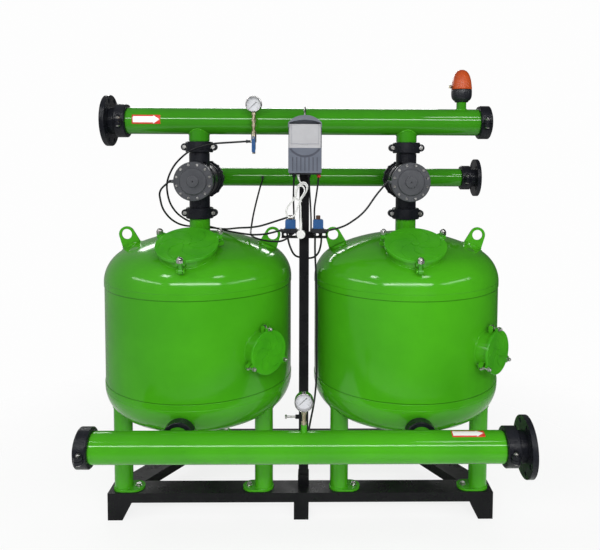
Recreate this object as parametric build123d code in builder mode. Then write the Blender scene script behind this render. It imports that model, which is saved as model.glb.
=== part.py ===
from build123d import *
import math
import os

os.makedirs("parts", exist_ok=True)

# Twin-tank sand media filter with automatic backwash.
# Millimetres, +Z up, +X to the right seen from the front, the viewer stands at -Y.
# The origin is on the floor, in the middle of the whole object's base.

# the two tanks
tank_pitch = 906
shell_r = 400
shell_wall = 5
lip_proud = 2
lip_height = 15
head_depth = 200
knuckle_r = 139
seam_low_z = 561
seam_high_z = 966

# legs and their base plates
leg_r = 38
leg_wall = 4
leg_circle = 340
plate_length = 130
plate_width = 84
plate_thick = 8
leg_bolt_offset = 62
leg_bolt_r = 6

# skid
beam_width = 100
beam_height = 40
beam_wall = 4
foot_height = 75
foot_width = 61
foot_slant = 30
front_beam_half = 802
front_beam_y = -170
rear_beam_y = 332
rear_beam_half = 545
vent_r = 5

# pipes, wall and groove
main_r = 57.15
main_wall = 4.5
branch_r = 44.45
branch_wall = 4
groove_depth = 2.2
groove_start = 15.9
groove_width = 9
pipe_gap = 3

# manifolds
inlet_z = 1663
inlet_left = -782
inlet_right = 788
outlet_y = -542
outlet_z = 467
outlet_left = -765
outlet_right = 760
drain_y = 369
drain_left = -505
drain_right = 800
nozzle_joint_y = -450

# flange adapters and end caps
adapter_length = 70
main_flange_r = 110
main_flange_thick = 20
main_bolt_circle = 180
main_bolt_count = 8
flange_hole_r = 9
drain_flange_r = 92
drain_flange_thick = 18
drain_bolt_circle = 146
drain_bolt_count = 4
cap_wall = 7
cap_length = 27
cap_dome = 9

# grooved couplings
coupling_half_width = 23.5
key_inner = 17.9
key_clear = 0.4
housing_wall = 8
gasket_space = 7
slip = 0.2
ear_r = 16
ear_half = 14
ear_gap = 1.2
ear_reach = 17.5
clamp_bolt_r = 5
clamp_head_r = 8
spot_margin = 1.8
clamp_head_height = 6.5
hole_clear = 0.4

# backwash valves
valve_z = 1406.5
valve_half = 142.5
cover_r = 82
cover_face_y = -150
cover_flange = 14
cover_dome_r = 57
cover_dome_rise = 7
cover_boss_r = 24.5
cover_boss_rise = 5
drum_r = 75
drum_rib_r = 80
drum_wall = 6
drum_back_y = 120
rear_ring_r = 85
rear_ring_thick = 24
rear_lug_count = 16
rear_lug_r = 8
rear_port_y = 213.5
screw_circle = 71
screw_count = 12
screw_head_r = 5
screw_r = 3
screw_head_height = 4
partition_y = -5
partition_thick = 5
seat_r = 36
drain_seat_y = 40
disc_r = 42
disc_thick = 12
stem_r = 5
stem_clear = 0.06
diaphragm_thick = 4
rest_gap = 0.3

# top hatch on each dome, tilted towards the front
hatch_tilt = 23.7
hatch_y = -280
hatch_z = 1168.5
hatch_neck_r = 109.5
hatch_neck_wall = 6
hatch_lid_r = 125
hatch_lid_thick = 12
hatch_gasket = 4
hatch_bolt_circle = 140
hatch_pin_drop = 37
hatch_bolt_r = 8
hatch_pin_r = 6

# side hatch on each shell, turned to the right front
side_azimuth = -44
side_z = 741
side_reach = 457
side_neck_r = 74
side_neck_wall = 5
side_lid_r = 88
side_lid_thick = 10
side_gasket = 3
side_bolt_circle = 94
side_pin_drop = 30
side_bolt_r = 6
side_pin_r = 5

# eye bolts and their lugs, shared by both hatches
lug_plate = 6
lug_margin = 9
eye_wall = 6.5
eye_side_clear = 0.6
eye_inset = 0.6
pin_clear = 0.08
nut_seat_gap = 0.3
fork_lip = 3
rib_count = 6
rib_height = 1.6
rib_width = 3

# lifting lugs
lug_at = 298
lug_hole_r = 22.5
lug_outer_r = 34
lug_rise = 54
lug_base_half = 41
lug_thick = 8

neck_inside = 22

# inner parts of the tanks
diffuser_plate_r = 75
diffuser_drop = 60
diffuser_sheet = 4
collector_r = 36
collector_wall = 3
collector_back = 150
collector_front = -425
lateral_r = 16
lateral_wall = 3
lateral_reach = 210
lateral_first = -190
lateral_step = 75
lateral_count = 5
slot_count = 5
slot_width = 2
sand_top = 830

# frame details
sleeve_half = 23
sleeve_height = 50
sleeve_clear = 0.2
post_x = 8
post_half = 20
post_wall = 3
post_top = 1650
post_plate_half = 40
post_plate_thick = 3
post_plate_low = 1500
post_plate_high = 1635
foot_slant_height = 58
foot_sole = 6
rear_foot_out = 540
side_bolt_z = 406
side_bolt_r = 4.5
side_bolt_start = -71
side_bolt_head = 7
side_boss_r = 9
side_boss_length = 15
saddle_thick = 6
saddle_back = 82
saddle_clear = 0.35
u_bolt_r = 4
u_bolt_drop = 88
u_nut_r = 6.5
u_nut_height = 6
rail_left = -85
rail_right = 105
rail_low = 1176
rail_high = 1202
rail_sheet = 4
rail_depth = 22
rail_slot_length = 20
rail_slot_width = 10
frame_bolt_head = 9
frame_bolt_head_height = 8
washer_r = 12
washer_thick = 2

# air release valve on the inlet manifold
air_x = 692
air_stub_r = 21.2
air_stub_top = 1751
air_base_top = 1809
air_neck_r = 26
air_cap_r = 44.5
air_cap_low = 1797
air_cap_top = 1892
air_bore_r = 14
air_cavity_r = 33
float_r = 27
float_height = 48
float_clear = 0.3

# gauges
upper_gauge = (-206, -98, 1730)
lower_gauge = (16, -542, 635)
gauge_r = 34
gauge_half_depth = 14
gauge_wall = 3
dial_thick = 1
lens_thick = 2
needle_reach = 24
needle_tail = 12
needle_pin_r = 1.2
needle_clear = 0.05
gauge_stem_r = 6.5
lever_pivot_z = 1588
lever_length = 54
lever_half = 7.5
lever_thick = 4
lever_pin_r = 3
chain_end_z = 1522
socket_r = 11
socket_top = 551

# controller
box_x = 12
box_half = 67
box_low = 1447
box_front = -248
box_mid = -215
hood_front = -256
hood_top = 1677
hood_side = 1630
hood_shoulder = 1648
hood_wall = 4
box_wall = 3
panel_low = 1547
door_half = 55
door_low = 1562
door_thick = 5
door_gap = 0.6
hinge_z = 1639
hinge_r = 2
hinge_clear = 0.08
cover_rib_count = 7
gland_r = 7
gland_length = 12

# solenoid pilots on the rail
solenoid_xs = (-47, 66)
solenoid_y = -197
solenoid_base_half = (25, 20)
solenoid_base_top = 1219
solenoid_coil_half = (21, 17)
solenoid_coil_top = 1256
solenoid_cap_r = 9
solenoid_cap_top = 1272

# lines
tube_r = 4
cable_r = 3.5
cord_r = 3
fitting_r = 7

# further valve and cap sizes
drain_adapter_length = 64
drain_dome = 20
stub_shrink = 0.3
rib_thick = 8
port_slot = 32
cover_vent_r = 3
pilot_r = 7
pilot_reach = 8
stem_front_y = -127
cap_grip_count = 24
air_outlet_z = 1838
air_outlet_r = 9
air_outlet_reach = 14

# gauge, controller and pilot details
pin_height = 8
needle_lift = 3
needle_thick = 1
needle_hub_r = 2.6
needle_rest = -137
lever_pin_reach = 18
line_branch_z = 1574
hood_lip = 1658
ledge_drop = 8
gland_bore_r = 5
gland_spots = [(-33, -190), (-16, -200), (27, -182), (68, -190)]
door_recess = 10
tab_length = 18
tab_half = 3
door_pin_y = -243.5
door_barrel_r = 3
cover_groove = 4
cover_groove_depth = 1.5
solenoid_port_z = 1210

# white supply cord
cord_gland_x = -16
cord_lead = [(-16, -200, 1444), (-15.5, -201, 1429), (-12, -205, 1415), (-5, -210.5, 1401)]
cord_tail = [(-16, -222, 1331), (-9.5, -222, 1309), (-5.5, -222, 1287), (-4.5, -222, 1266), (-5, -222, 1245)]
hank_back = -207.5
hank_thick = 27
hank_outline = [
    (-19, 1400), (-3, 1410), (11.5, 1416.5), (24, 1410), (28, 1394), (22, 1367), (3, 1343), (-10, 1314),
    (-20.5, 1290), (-27, 1270), (-38, 1261), (-55, 1261), (-66, 1275), (-68, 1296), (-58, 1318), (-38, 1335),
    (-28, 1351), (-28, 1376),
]
plug_x = -4
plug_z = 1198
plug_r = 18
plug_back = -212
plug_thick = 24
plug_neck_r = 6
plug_edge = 3
plug_pin_r = 2.4
plug_pin_pitch = 19
plug_pin_length = 19

# places worked out from the sizes above
tank_xs = {"left": -tank_pitch / 2, "right": tank_pitch / 2}
beam_top = foot_height + beam_height
plate_top = beam_top + plate_thick
head_r = shell_r + lip_proud
lower_centre = seam_low_z - lip_height
upper_centre = seam_high_z + lip_height
dome_top = upper_centre + head_depth
inner_r = shell_r - shell_wall
head_wall = shell_wall + lip_proud
sand_inset = head_wall + rest_gap
crown_r = (head_depth ** 2 + (head_r - knuckle_r) ** 2 - knuckle_r ** 2) / (2 * (head_depth - knuckle_r))
neck_end = valve_z - valve_half - pipe_gap
stub_end = valve_z + valve_half + pipe_gap
lower_joint = valve_z - valve_half - pipe_gap / 2
upper_joint = valve_z + valve_half + pipe_gap / 2
rear_joint = rear_port_y + pipe_gap / 2
leg_spots = [(leg_circle * math.cos(math.radians(a)), leg_circle * math.sin(math.radians(a)))
             for a in (-150, -30, 90)]
leg_bolt_side = [1, -1, 1]


def hatch_plane(tank_x):
    """Plane on the lid's top, facing out of the dome towards the front."""
    tilt = math.radians(hatch_tilt)
    return Plane(origin=(tank_x, hatch_y, hatch_z), x_dir=(1, 0, 0), z_dir=(0, -math.sin(tilt), math.cos(tilt)))


def side_plane(tank_x):
    """Plane on the side lid's face, its Y up."""
    turn = math.radians(side_azimuth)
    return Plane(
        origin=(tank_x + side_reach * math.cos(turn), side_reach * math.sin(turn), side_z),
        x_dir=(-math.sin(turn), math.cos(turn), 0),
        z_dir=(math.cos(turn), math.sin(turn), 0),
    )


top_hatch = {
    "plane": hatch_plane, "neck_r": hatch_neck_r, "neck_wall": hatch_neck_wall, "lid_r": hatch_lid_r,
    "lid_thick": hatch_lid_thick, "gasket": hatch_gasket, "circle": hatch_bolt_circle,
    "drop": hatch_pin_drop, "bolt_r": hatch_bolt_r, "pin_r": hatch_pin_r,
    "angles": (-90, 30, 150), "sink": 110, "boss_r": 15,
}
side_hatch = {
    "plane": side_plane, "neck_r": side_neck_r, "neck_wall": side_neck_wall, "lid_r": side_lid_r,
    "lid_thick": side_lid_thick, "gasket": side_gasket, "circle": side_bolt_circle,
    "drop": side_pin_drop, "bolt_r": side_bolt_r, "pin_r": side_pin_r,
    "angles": (90, 210, 330), "sink": 90, "boss_r": 11,
}


to_base = Location((
    -(inlet_left - adapter_length + drain_right + drain_adapter_length) / 2,
    -(outlet_y - main_flange_r + drain_y + drain_flange_r) / 2,
    0,
))


def write(part, name):
    """Put one finished node over the middle of the base, label it and write its file."""
    placed = part.moved(to_base)
    placed.label = name
    export_step(placed, f"parts/{name}.step")


def group(solids, name):
    """Several like pieces that share one node."""
    members = [solid for shape in solids for solid in shape.solids()]
    write(Compound(label=name, children=members), name)


def groove(end, outward, pipe_r):
    """Ring to cut near a pipe's end for a grooved coupling; outward points out of the end."""
    face = Plane(origin=end, z_dir=outward)
    with BuildPart(face.offset(-groove_start - groove_width)) as ring:
        with BuildSketch(face.offset(-groove_start - groove_width)):
            Circle(pipe_r + 1)
            Circle(pipe_r - groove_depth, mode=Mode.SUBTRACT)
        extrude(amount=groove_width)
    return ring.part


def rod(start, end, radius):
    """Plain round bar between two points."""
    axis = Vector(*end) - Vector(*start)
    base = Plane(origin=start, z_dir=axis)
    with BuildPart() as bar:
        with BuildSketch(base):
            Circle(radius)
        extrude(amount=axis.length)
    return bar.part


def hex_bar(start, end, flat_r):
    """Hexagonal bar between two points; flat_r is half its width across flats."""
    axis = Vector(*end) - Vector(*start)
    with BuildPart() as bar:
        with BuildSketch(Plane(origin=start, z_dir=axis)):
            RegularPolygon(flat_r, 6, major_radius=False)
        extrude(amount=axis.length)
    return bar.part


def head_profile(radius, inset, cut_top):
    """Closed half outline of a tank: two dished heads joined by a straight side."""
    crown = crown_r - inset
    knuckle = knuckle_r - inset
    turn = math.asin((head_r - knuckle_r) / (crown_r - knuckle_r))
    depth = head_depth - inset
    for middle, up in ((lower_centre, -1), (upper_centre, 1)):
        pole = (0, middle + up * depth)
        crown_centre = middle + up * (head_depth - crown_r)
        half = (crown * math.sin(turn / 2), crown_centre + up * crown * math.cos(turn / 2))
        shoulder = (crown * math.sin(turn), crown_centre + up * crown * math.cos(turn))
        bend = (math.pi / 2 - turn) / 2
        outer = (head_r - knuckle_r + knuckle * math.cos(bend), middle + up * knuckle * math.sin(bend))
        ThreePointArc(pole, half, shoulder)
        ThreePointArc(shoulder, outer, (radius, middle))
    if cut_top:
        Polyline((radius, lower_centre), (radius, seam_low_z), (shell_r, seam_low_z), (shell_r, seam_high_z),
                 (radius, seam_high_z), (radius, upper_centre))
    else:
        Line((radius, lower_centre), (radius, upper_centre))
    Line((0, upper_centre + depth), (0, lower_centre - depth))


def dome_outline(edge_r, rise):
    """Closed half outline of a shallow round dome standing on its own centre."""
    round_r = (edge_r ** 2 + rise ** 2) / (2 * rise)
    turn = math.asin(edge_r / round_r)
    half = (rise - round_r + round_r * math.cos(turn / 2), round_r * math.sin(turn / 2))
    ThreePointArc((rise, 0), half, (0, edge_r))
    Polyline((0, edge_r), (0, 0), (rise, 0))


with BuildPart() as tank_outside:
    with BuildSketch(Plane.XZ):
        with BuildLine():
            head_profile(head_r, 0, True)
        make_face()
    revolve(axis=Axis.Z)

with BuildPart() as tank_inside:
    with BuildSketch(Plane.XZ):
        with BuildLine():
            head_profile(inner_r, head_wall, False)
        make_face()
    revolve(axis=Axis.Z)


def hatch_neck(hatch, tank_x):
    """Outside of a hatch's neck with its lugs, its bore, in the tank's place."""
    plane = hatch["plane"](tank_x)
    rim = -(hatch["lid_thick"] + hatch["gasket"])
    inner = hatch["bolt_r"] + eye_side_clear
    reach = hatch["circle"] + lug_margin
    with BuildPart() as neck:
        with BuildSketch(plane.offset(rim)):
            Circle(hatch["neck_r"])
        extrude(amount=-hatch["sink"])
        for angle in hatch["angles"]:
            spot = plane * Pos(0, 0, -hatch["drop"]) * Rot(0, 0, angle)
            for side in (-1, 1):
                across = side * (inner + lug_plate / 2)
                flat = Plane(spot * Location((0, across + lug_plate / 2, 0))) * Rot(90, 0, 0)
                with BuildSketch(Plane(flat)):
                    with Locations((hatch["circle"], 0)):
                        Circle(lug_margin)
                    with Locations(((hatch["neck_r"] - 4 + hatch["circle"]) / 2, 0)):
                        Rectangle(hatch["circle"] - hatch["neck_r"] + 4, 2 * lug_margin)
                extrude(amount=lug_plate)
            pin_start = (spot * Location((hatch["circle"], -inner - lug_plate, 0))).position
            pin_end = (spot * Location((hatch["circle"], inner + lug_plate, 0))).position
            add(rod(pin_start, pin_end, hatch["pin_r"]))
    with BuildPart() as bore:
        with BuildSketch(plane.offset(rim)):
            Circle(hatch["neck_r"] - hatch["neck_wall"])
        extrude(amount=-hatch["sink"] - 30)
    return neck.part, bore.part


def hatch_lid(hatch, tank_x):
    """Flat cast lid with three slotted ears, a boss and a whirl of thin ribs."""
    plane = hatch["plane"](tank_x)
    ear_half_width = hatch["bolt_r"] + 9
    slot_half = hatch["bolt_r"] + 1
    ear_end = hatch["circle"] + fork_lip
    ear_start = hatch["lid_r"] - 20
    rib_end = hatch["lid_r"] - 14
    with BuildPart() as lid:
        with BuildSketch(plane):
            Circle(hatch["lid_r"])
        extrude(amount=-hatch["lid_thick"])
        fillet(lid.faces().sort_by(Axis(plane.origin, plane.z_dir))[-1].edges(), radius=2)
        with BuildSketch(plane):
            for angle in hatch["angles"]:
                with PolarLocations((ear_start + ear_end) / 2, 1, start_angle=angle):
                    Rectangle(ear_end - ear_start, 2 * ear_half_width)
        extrude(amount=-hatch["lid_thick"])
        with BuildSketch(plane.offset(1)):
            for angle in hatch["angles"]:
                with PolarLocations(hatch["circle"] + 20, 1, start_angle=angle):
                    SlotCenterToCenter(40, 2 * slot_half)
        extrude(amount=-hatch["lid_thick"] - 2, mode=Mode.SUBTRACT)
        with BuildSketch(plane.offset(-0.5)):
            Circle(hatch["boss_r"])
        extrude(amount=rib_height + 1.5)
        with BuildSketch(plane.offset(-0.5)):
            with BuildLine():
                for index in range(rib_count):
                    turn = 360 / rib_count * index
                    points = [(r, turn + lean) for r, lean in (
                        (hatch["boss_r"] - 2, 0), (0.55 * rib_end, 26), (rib_end, 78))]
                    ThreePointArc(*[(r * math.cos(math.radians(a)), r * math.sin(math.radians(a)))
                                    for r, a in points])
            trace(line_width=rib_width)
        extrude(amount=rib_height + 0.5)
    return lid.part


def hatch_seal(hatch, tank_x):
    """Flat ring between the neck's rim and the lid."""
    plane = hatch["plane"](tank_x)
    with BuildPart() as seal:
        with BuildSketch(plane.offset(-hatch["lid_thick"])):
            Circle(hatch["neck_r"])
            Circle(hatch["neck_r"] - hatch["neck_wall"], mode=Mode.SUBTRACT)
        extrude(amount=-hatch["gasket"])
    return seal.part


def eye_bolt(hatch, tank_x, angle):
    """Eye bolt on its lug's pin with washer and domed nut, three separate solids."""
    plane = hatch["plane"](tank_x)
    bolt_r = hatch["bolt_r"]
    eye_r = hatch["pin_r"] + eye_wall
    washer = 2.5
    nut_height = 0.8 * bolt_r * 2
    flat_r = 1.5 * bolt_r
    seat = hatch["drop"] + nut_seat_gap
    pin = Plane(plane * Pos(0, 0, -hatch["drop"]) * Rot(0, 0, angle) * Pos(hatch["circle"], 0, 0))
    across = Plane(pin.location * Rot(90, 0, 0))
    with BuildPart() as bolt:
        with BuildSketch(across):
            Circle(eye_r)
        extrude(amount=bolt_r - eye_inset, both=True)
        with BuildSketch(pin):
            Circle(bolt_r)
        extrude(amount=seat + washer + nut_height)
        with BuildSketch(across):
            Circle(hatch["pin_r"] + pin_clear)
        extrude(amount=bolt_r + 1, both=True, mode=Mode.SUBTRACT)
    with BuildPart() as ring:
        with BuildSketch(pin.offset(seat)):
            Circle(flat_r + 2)
            Circle(bolt_r, mode=Mode.SUBTRACT)
        extrude(amount=washer)
    nut_base = pin.offset(seat + washer)
    with BuildPart() as nut:
        with BuildSketch(nut_base):
            RegularPolygon(flat_r, 6, major_radius=False)
        extrude(amount=nut_height)
        with BuildSketch(Plane(nut_base.location * Pos(0, 0, nut_height) * Rot(90, 0, 0))):
            with BuildLine():
                CenterArc((0, -1), flat_r - 1, 0, 90)
                Line((0, flat_r - 2), (0, -1))
                Line((0, -1), (flat_r - 1, -1))
            make_face()
        revolve(axis=Axis(nut_base.origin, nut_base.z_dir))
        with BuildSketch(nut_base):
            Circle(bolt_r)
        extrude(amount=nut_height, mode=Mode.SUBTRACT)
    return [bolt.part, ring.part, nut.part]


def base_plate(spot, side):
    """Oblong plate under a leg with its bolt hole on one side, open under the pipe."""
    shift = (plate_length - plate_width) / 2 * side
    with BuildPart() as plate:
        with BuildSketch(Plane.XY.offset(beam_top)):
            with Locations((spot[0] + shift, spot[1])):
                SlotOverall(plate_length, plate_width)
            with Locations((spot[0] + leg_bolt_offset * side, spot[1])):
                Circle(leg_bolt_r + hole_clear, mode=Mode.SUBTRACT)
        extrude(amount=plate_thick)
    return plate.part


def lifting_lug(side):
    """Plate with a large eye standing on the dome, and its half-round foot towards the front."""
    slope = math.asin(lug_at / crown_r)
    rise = head_depth - crown_r + crown_r * math.cos(slope)
    stand = Plane(
        origin=(side * lug_at, 0, upper_centre + rise),
        x_dir=(side * math.cos(slope), 0, -math.sin(slope)),
        z_dir=(0, -1, 0),
    )
    up = 1 if (stand.y_dir.Z > 0) else -1
    with BuildPart() as lug:
        with BuildSketch(stand.offset(-lug_thick / 2)):
            with BuildLine():
                tip = Vector(0, up * lug_rise)
                lean = math.asin((lug_base_half - lug_outer_r) / lug_rise)
                shoulder = (lug_outer_r * math.cos(lean), up * (lug_rise + lug_outer_r * math.sin(lean)))
                mirrored = (-shoulder[0], shoulder[1])
                crown = (0, up * (lug_rise + lug_outer_r))
                ThreePointArc(shoulder, crown, mirrored)
                Polyline(mirrored, (-lug_base_half, 0), (-lug_base_half, -up * 12), (lug_base_half, -up * 12),
                         (lug_base_half, 0), shoulder)
            make_face()
            with Locations((tip.X, tip.Y)):
                Circle(lug_hole_r, mode=Mode.SUBTRACT)
        extrude(amount=lug_thick)
        foot = Plane(origin=stand.origin, x_dir=stand.x_dir, z_dir=stand.y_dir * up)
        with BuildSketch(foot.offset(-6)):
            Circle(lug_base_half)
            with Locations((0, lug_base_half * (1 if foot.y_dir.Y > 0 else -1))):
                Rectangle(2 * lug_base_half, 2 * lug_base_half, mode=Mode.SUBTRACT)
        extrude(amount=6 + lug_thick)
    return lug.part


def vessel(tank_x):
    """Welded tank: heads, shell, necks, lugs, nozzle, legs and base plates."""
    place = Pos(tank_x, 0, 0)
    shell = place * tank_outside.part
    top_neck, top_bore = hatch_neck(top_hatch, tank_x)
    side_neck, side_bore = hatch_neck(side_hatch, tank_x)
    nozzle_end = (tank_x, nozzle_joint_y + pipe_gap / 2, outlet_z)
    with BuildPart() as leg_bores:
        for spot in leg_spots:
            foot = (tank_x + spot[0], spot[1])
            add(rod((*foot, beam_top), (*foot, lower_centre), leg_r - leg_wall))
        add(shell, mode=Mode.SUBTRACT)
    with BuildPart() as tank:
        add(shell)
        add(top_neck)
        add(side_neck)
        for side in (-1, 1):
            add(place * lifting_lug(side))
        add(rod((tank_x, 0, dome_top - 30), (tank_x, 0, neck_end), branch_r))
        add(rod((tank_x, -inner_r + 80, outlet_z), nozzle_end, branch_r))
        for spot, side in zip(leg_spots, leg_bolt_side):
            foot = (tank_x + spot[0], spot[1])
            add(rod((*foot, beam_top), (*foot, lower_centre), leg_r))
            add(base_plate(foot, side))
        add(place * tank_inside.part, mode=Mode.SUBTRACT)
        add(leg_bores.part, mode=Mode.SUBTRACT)
        add(top_bore, mode=Mode.SUBTRACT)
        add(side_bore, mode=Mode.SUBTRACT)
        inner_end = dome_top - head_wall - neck_inside
        add(rod((tank_x, 0, inner_end), (tank_x, 0, dome_top - head_wall + 2), branch_r))
        add(rod((tank_x, 0, inner_end), (tank_x, 0, neck_end), branch_r - branch_wall), mode=Mode.SUBTRACT)
        add(rod((tank_x, -inner_r + 80, outlet_z), nozzle_end, branch_r - branch_wall), mode=Mode.SUBTRACT)
        add(groove((tank_x, 0, neck_end), (0, 0, 1), branch_r), mode=Mode.SUBTRACT)
        add(groove(nozzle_end, (0, -1, 0), branch_r), mode=Mode.SUBTRACT)
    return tank.part


for side, tank_x in tank_xs.items():
    write(vessel(tank_x), f"vessel_{side}")
    write(hatch_lid(top_hatch, tank_x), f"top_lid_{side}")
    write(hatch_lid(side_hatch, tank_x), f"side_lid_{side}")
    for place, angle in zip(("front", "inner", "outer"), top_hatch["angles"]):
        group(eye_bolt(top_hatch, tank_x, angle), f"eye_bolt_{side}_{place}")
group([eye for tank_x in tank_xs.values() for angle in side_hatch["angles"]
       for eye in eye_bolt(side_hatch, tank_x, angle)], "side_eye_bolts")
group([hatch_seal(hatch, tank_x) for hatch in (top_hatch, side_hatch) for tank_x in tank_xs.values()],
      "lid_gaskets")


def diffuser(tank_x):
    """Plate hung under the inlet neck that spreads the water, with its sleeve and three straps."""
    low = dome_top - head_wall - neck_inside
    sleeve_in = branch_r + 0.2
    with BuildPart() as spreader:
        with BuildSketch(Plane((tank_x, 0, low))):
            Circle(sleeve_in + diffuser_sheet)
            Circle(sleeve_in, mode=Mode.SUBTRACT)
        extrude(amount=neck_inside - 4)
        with BuildSketch(Plane((tank_x, 0, low - diffuser_drop))):
            Circle(diffuser_plate_r)
        extrude(amount=diffuser_sheet)
        with BuildSketch(Plane((tank_x, 0, low - diffuser_drop))):
            with PolarLocations(sleeve_in + diffuser_sheet / 2, 3):
                Rectangle(diffuser_sheet, 20)
        extrude(amount=diffuser_drop + 2)
    return spreader.part


def underdrain(tank_x):
    """Collector pipe that slides into the outlet nozzle, with slotted side pipes."""
    with BuildPart() as drain:
        add(rod((tank_x, collector_back, outlet_z), (tank_x, collector_front, outlet_z), collector_r))
        for index in range(lateral_count):
            y = lateral_first + index * lateral_step
            add(rod((tank_x - lateral_reach, y, outlet_z), (tank_x + lateral_reach, y, outlet_z), lateral_r))
        add(rod((tank_x, collector_back - collector_wall, outlet_z), (tank_x, collector_front - 1, outlet_z),
                collector_r - collector_wall), mode=Mode.SUBTRACT)
        for index in range(lateral_count):
            y = lateral_first + index * lateral_step
            reach = lateral_reach - lateral_wall
            add(rod((tank_x - reach, y, outlet_z), (tank_x + reach, y, outlet_z), lateral_r - lateral_wall),
                mode=Mode.SUBTRACT)
        slot_step = (lateral_reach - collector_r - 30) / (slot_count - 1)
        spots = [(tank_x + side * (collector_r + 15 + k * slot_step), lateral_first + index * lateral_step)
                 for side in (-1, 1) for k in range(slot_count) for index in range(lateral_count)]
        with BuildSketch(Plane.XY.offset(outlet_z - lateral_r - 1)):
            with Locations(*spots):
                Rectangle(slot_width, 1.4 * lateral_r)
        extrude(amount=lateral_r - 4, mode=Mode.SUBTRACT)
    return drain.part


with BuildPart() as sand:
    with BuildSketch(Plane.XZ):
        with BuildLine():
            head_profile(head_r - sand_inset, sand_inset, False)
        make_face()
    revolve(axis=Axis.Z)
    with BuildSketch(Plane.XY.offset(sand_top)):
        Circle(shell_r)
    extrude(amount=shell_r, mode=Mode.SUBTRACT)
    add(rod((0, collector_back + rest_gap, outlet_z), (0, -shell_r, outlet_z), collector_r + rest_gap),
        mode=Mode.SUBTRACT)
    for index in range(lateral_count):
        y = lateral_first + index * lateral_step
        reach = lateral_reach + rest_gap
        add(rod((-reach, y, outlet_z), (reach, y, outlet_z), lateral_r + rest_gap), mode=Mode.SUBTRACT)

group([diffuser(tank_x) for tank_x in tank_xs.values()], "inlet_diffusers")
group([underdrain(tank_x) for tank_x in tank_xs.values()], "underdrains")
group([Pos(tank_x, 0, 0) * sand.part for tank_x in tank_xs.values()], "sand_beds")


def flat_tube(start, end, shrink):
    """Rectangular bar lying flat between two points; shrink takes its wall off each side."""
    run = Vector(*end) - Vector(*start)
    with BuildPart() as tube:
        with BuildSketch(Plane(origin=start, x_dir=(run.Y, -run.X, 0), z_dir=run)):
            Rectangle(beam_width - 2 * shrink, beam_height - 2 * shrink)
        extrude(amount=run.length)
    return tube.part


beam_mid = foot_height + beam_height / 2
brace_top = (rear_beam_half - 94, rear_beam_y + 11)
brace_low = (front_beam_half - 50, front_beam_y + 18)
brace_run = Vector(brace_top[0] - brace_low[0], brace_top[1] - brace_low[1]).normalized()

with BuildPart() as skid_frame:
    add(flat_tube((-front_beam_half, front_beam_y, beam_mid), (front_beam_half, front_beam_y, beam_mid), 0))
    add(flat_tube((-rear_beam_half, rear_beam_y, beam_mid), (rear_beam_half, rear_beam_y, beam_mid), 0))
    for side in (-1, 1):
        add(flat_tube((side * brace_low[0], brace_low[1], beam_mid), (side * brace_top[0], brace_top[1], beam_mid),
                      0))
    for side in (-1, 1):
        with BuildSketch(Plane.XZ.offset(-front_beam_y - beam_width / 2)):
            with BuildLine():
                Polyline((side * front_beam_half, 0), (side * (front_beam_half - foot_width), 0),
                         (side * (front_beam_half - foot_width - foot_slant), foot_slant_height),
                         (side * (front_beam_half - foot_width - foot_slant), foot_height + 1),
                         (side * front_beam_half, foot_height + 1), close=True)
            make_face()
        extrude(amount=beam_width)
        with BuildSketch(Plane.XY):
            with Locations((side * (rear_foot_out - foot_width / 2), rear_beam_y)):
                Rectangle(foot_width, beam_width)
        extrude(amount=foot_height + 1)
    with BuildSketch(Plane.XY):
        with Locations((0, front_beam_y)):
            Rectangle(foot_width, beam_width)
    extrude(amount=foot_height + 1)
    sleeve_y = front_beam_y + beam_width / 2 - sleeve_half
    with BuildSketch(Plane.XY.offset(beam_top)):
        with Locations((post_x, sleeve_y)):
            Rectangle(2 * sleeve_half, 2 * sleeve_half)
            Rectangle(2 * (post_half + sleeve_clear), 2 * (post_half + sleeve_clear), mode=Mode.SUBTRACT)
    extrude(amount=sleeve_height)
    inner_half = front_beam_half - beam_wall
    add(flat_tube((-inner_half, front_beam_y, beam_mid), (inner_half, front_beam_y, beam_mid), beam_wall),
        mode=Mode.SUBTRACT)
    inner_half = rear_beam_half - beam_wall
    add(flat_tube((-inner_half, rear_beam_y, beam_mid), (inner_half, rear_beam_y, beam_mid), beam_wall),
        mode=Mode.SUBTRACT)
    for side in (-1, 1):
        low = (side * (brace_low[0] + 15 * brace_run.X), brace_low[1] + 15 * brace_run.Y, beam_mid)
        high = (side * (brace_top[0] - 15 * brace_run.X), brace_top[1] - 15 * brace_run.Y, beam_mid)
        add(flat_tube(low, high, beam_wall), mode=Mode.SUBTRACT)
    feet = [(side * (front_beam_half - foot_width / 2), front_beam_y) for side in (-1, 1)]
    feet += [(side * (rear_foot_out - foot_width / 2), rear_beam_y) for side in (-1, 1)]
    feet += [(0, front_beam_y)]
    with BuildSketch(Plane.XY.offset(foot_sole)):
        with Locations(*feet):
            Rectangle(foot_width - 2 * beam_wall, beam_width - 2 * beam_wall)
    extrude(amount=foot_height - foot_sole, mode=Mode.SUBTRACT)
    with BuildSketch(Plane.XY.offset(foot_height - 1)):
        with Locations(*feet):
            Circle(vent_r)
    extrude(amount=beam_wall + 2, mode=Mode.SUBTRACT)
    for x, y in feet:
        add(rod((x, y, foot_height / 2), (x, y + beam_width / 2 + 1, foot_height / 2), vent_r),
            mode=Mode.SUBTRACT)
    plate_bolts = [(tank_x + spot[0] + side * leg_bolt_offset, spot[1]) for tank_x in tank_xs.values()
                   for spot, side in zip(leg_spots, leg_bolt_side)]
    with BuildSketch(Plane.XY.offset(beam_top - beam_wall - 1)):
        with Locations(*plate_bolts):
            Circle(leg_bolt_r + hole_clear)
    extrude(amount=beam_wall + 2, mode=Mode.SUBTRACT)
write(skid_frame.part, "skid_frame")

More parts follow.
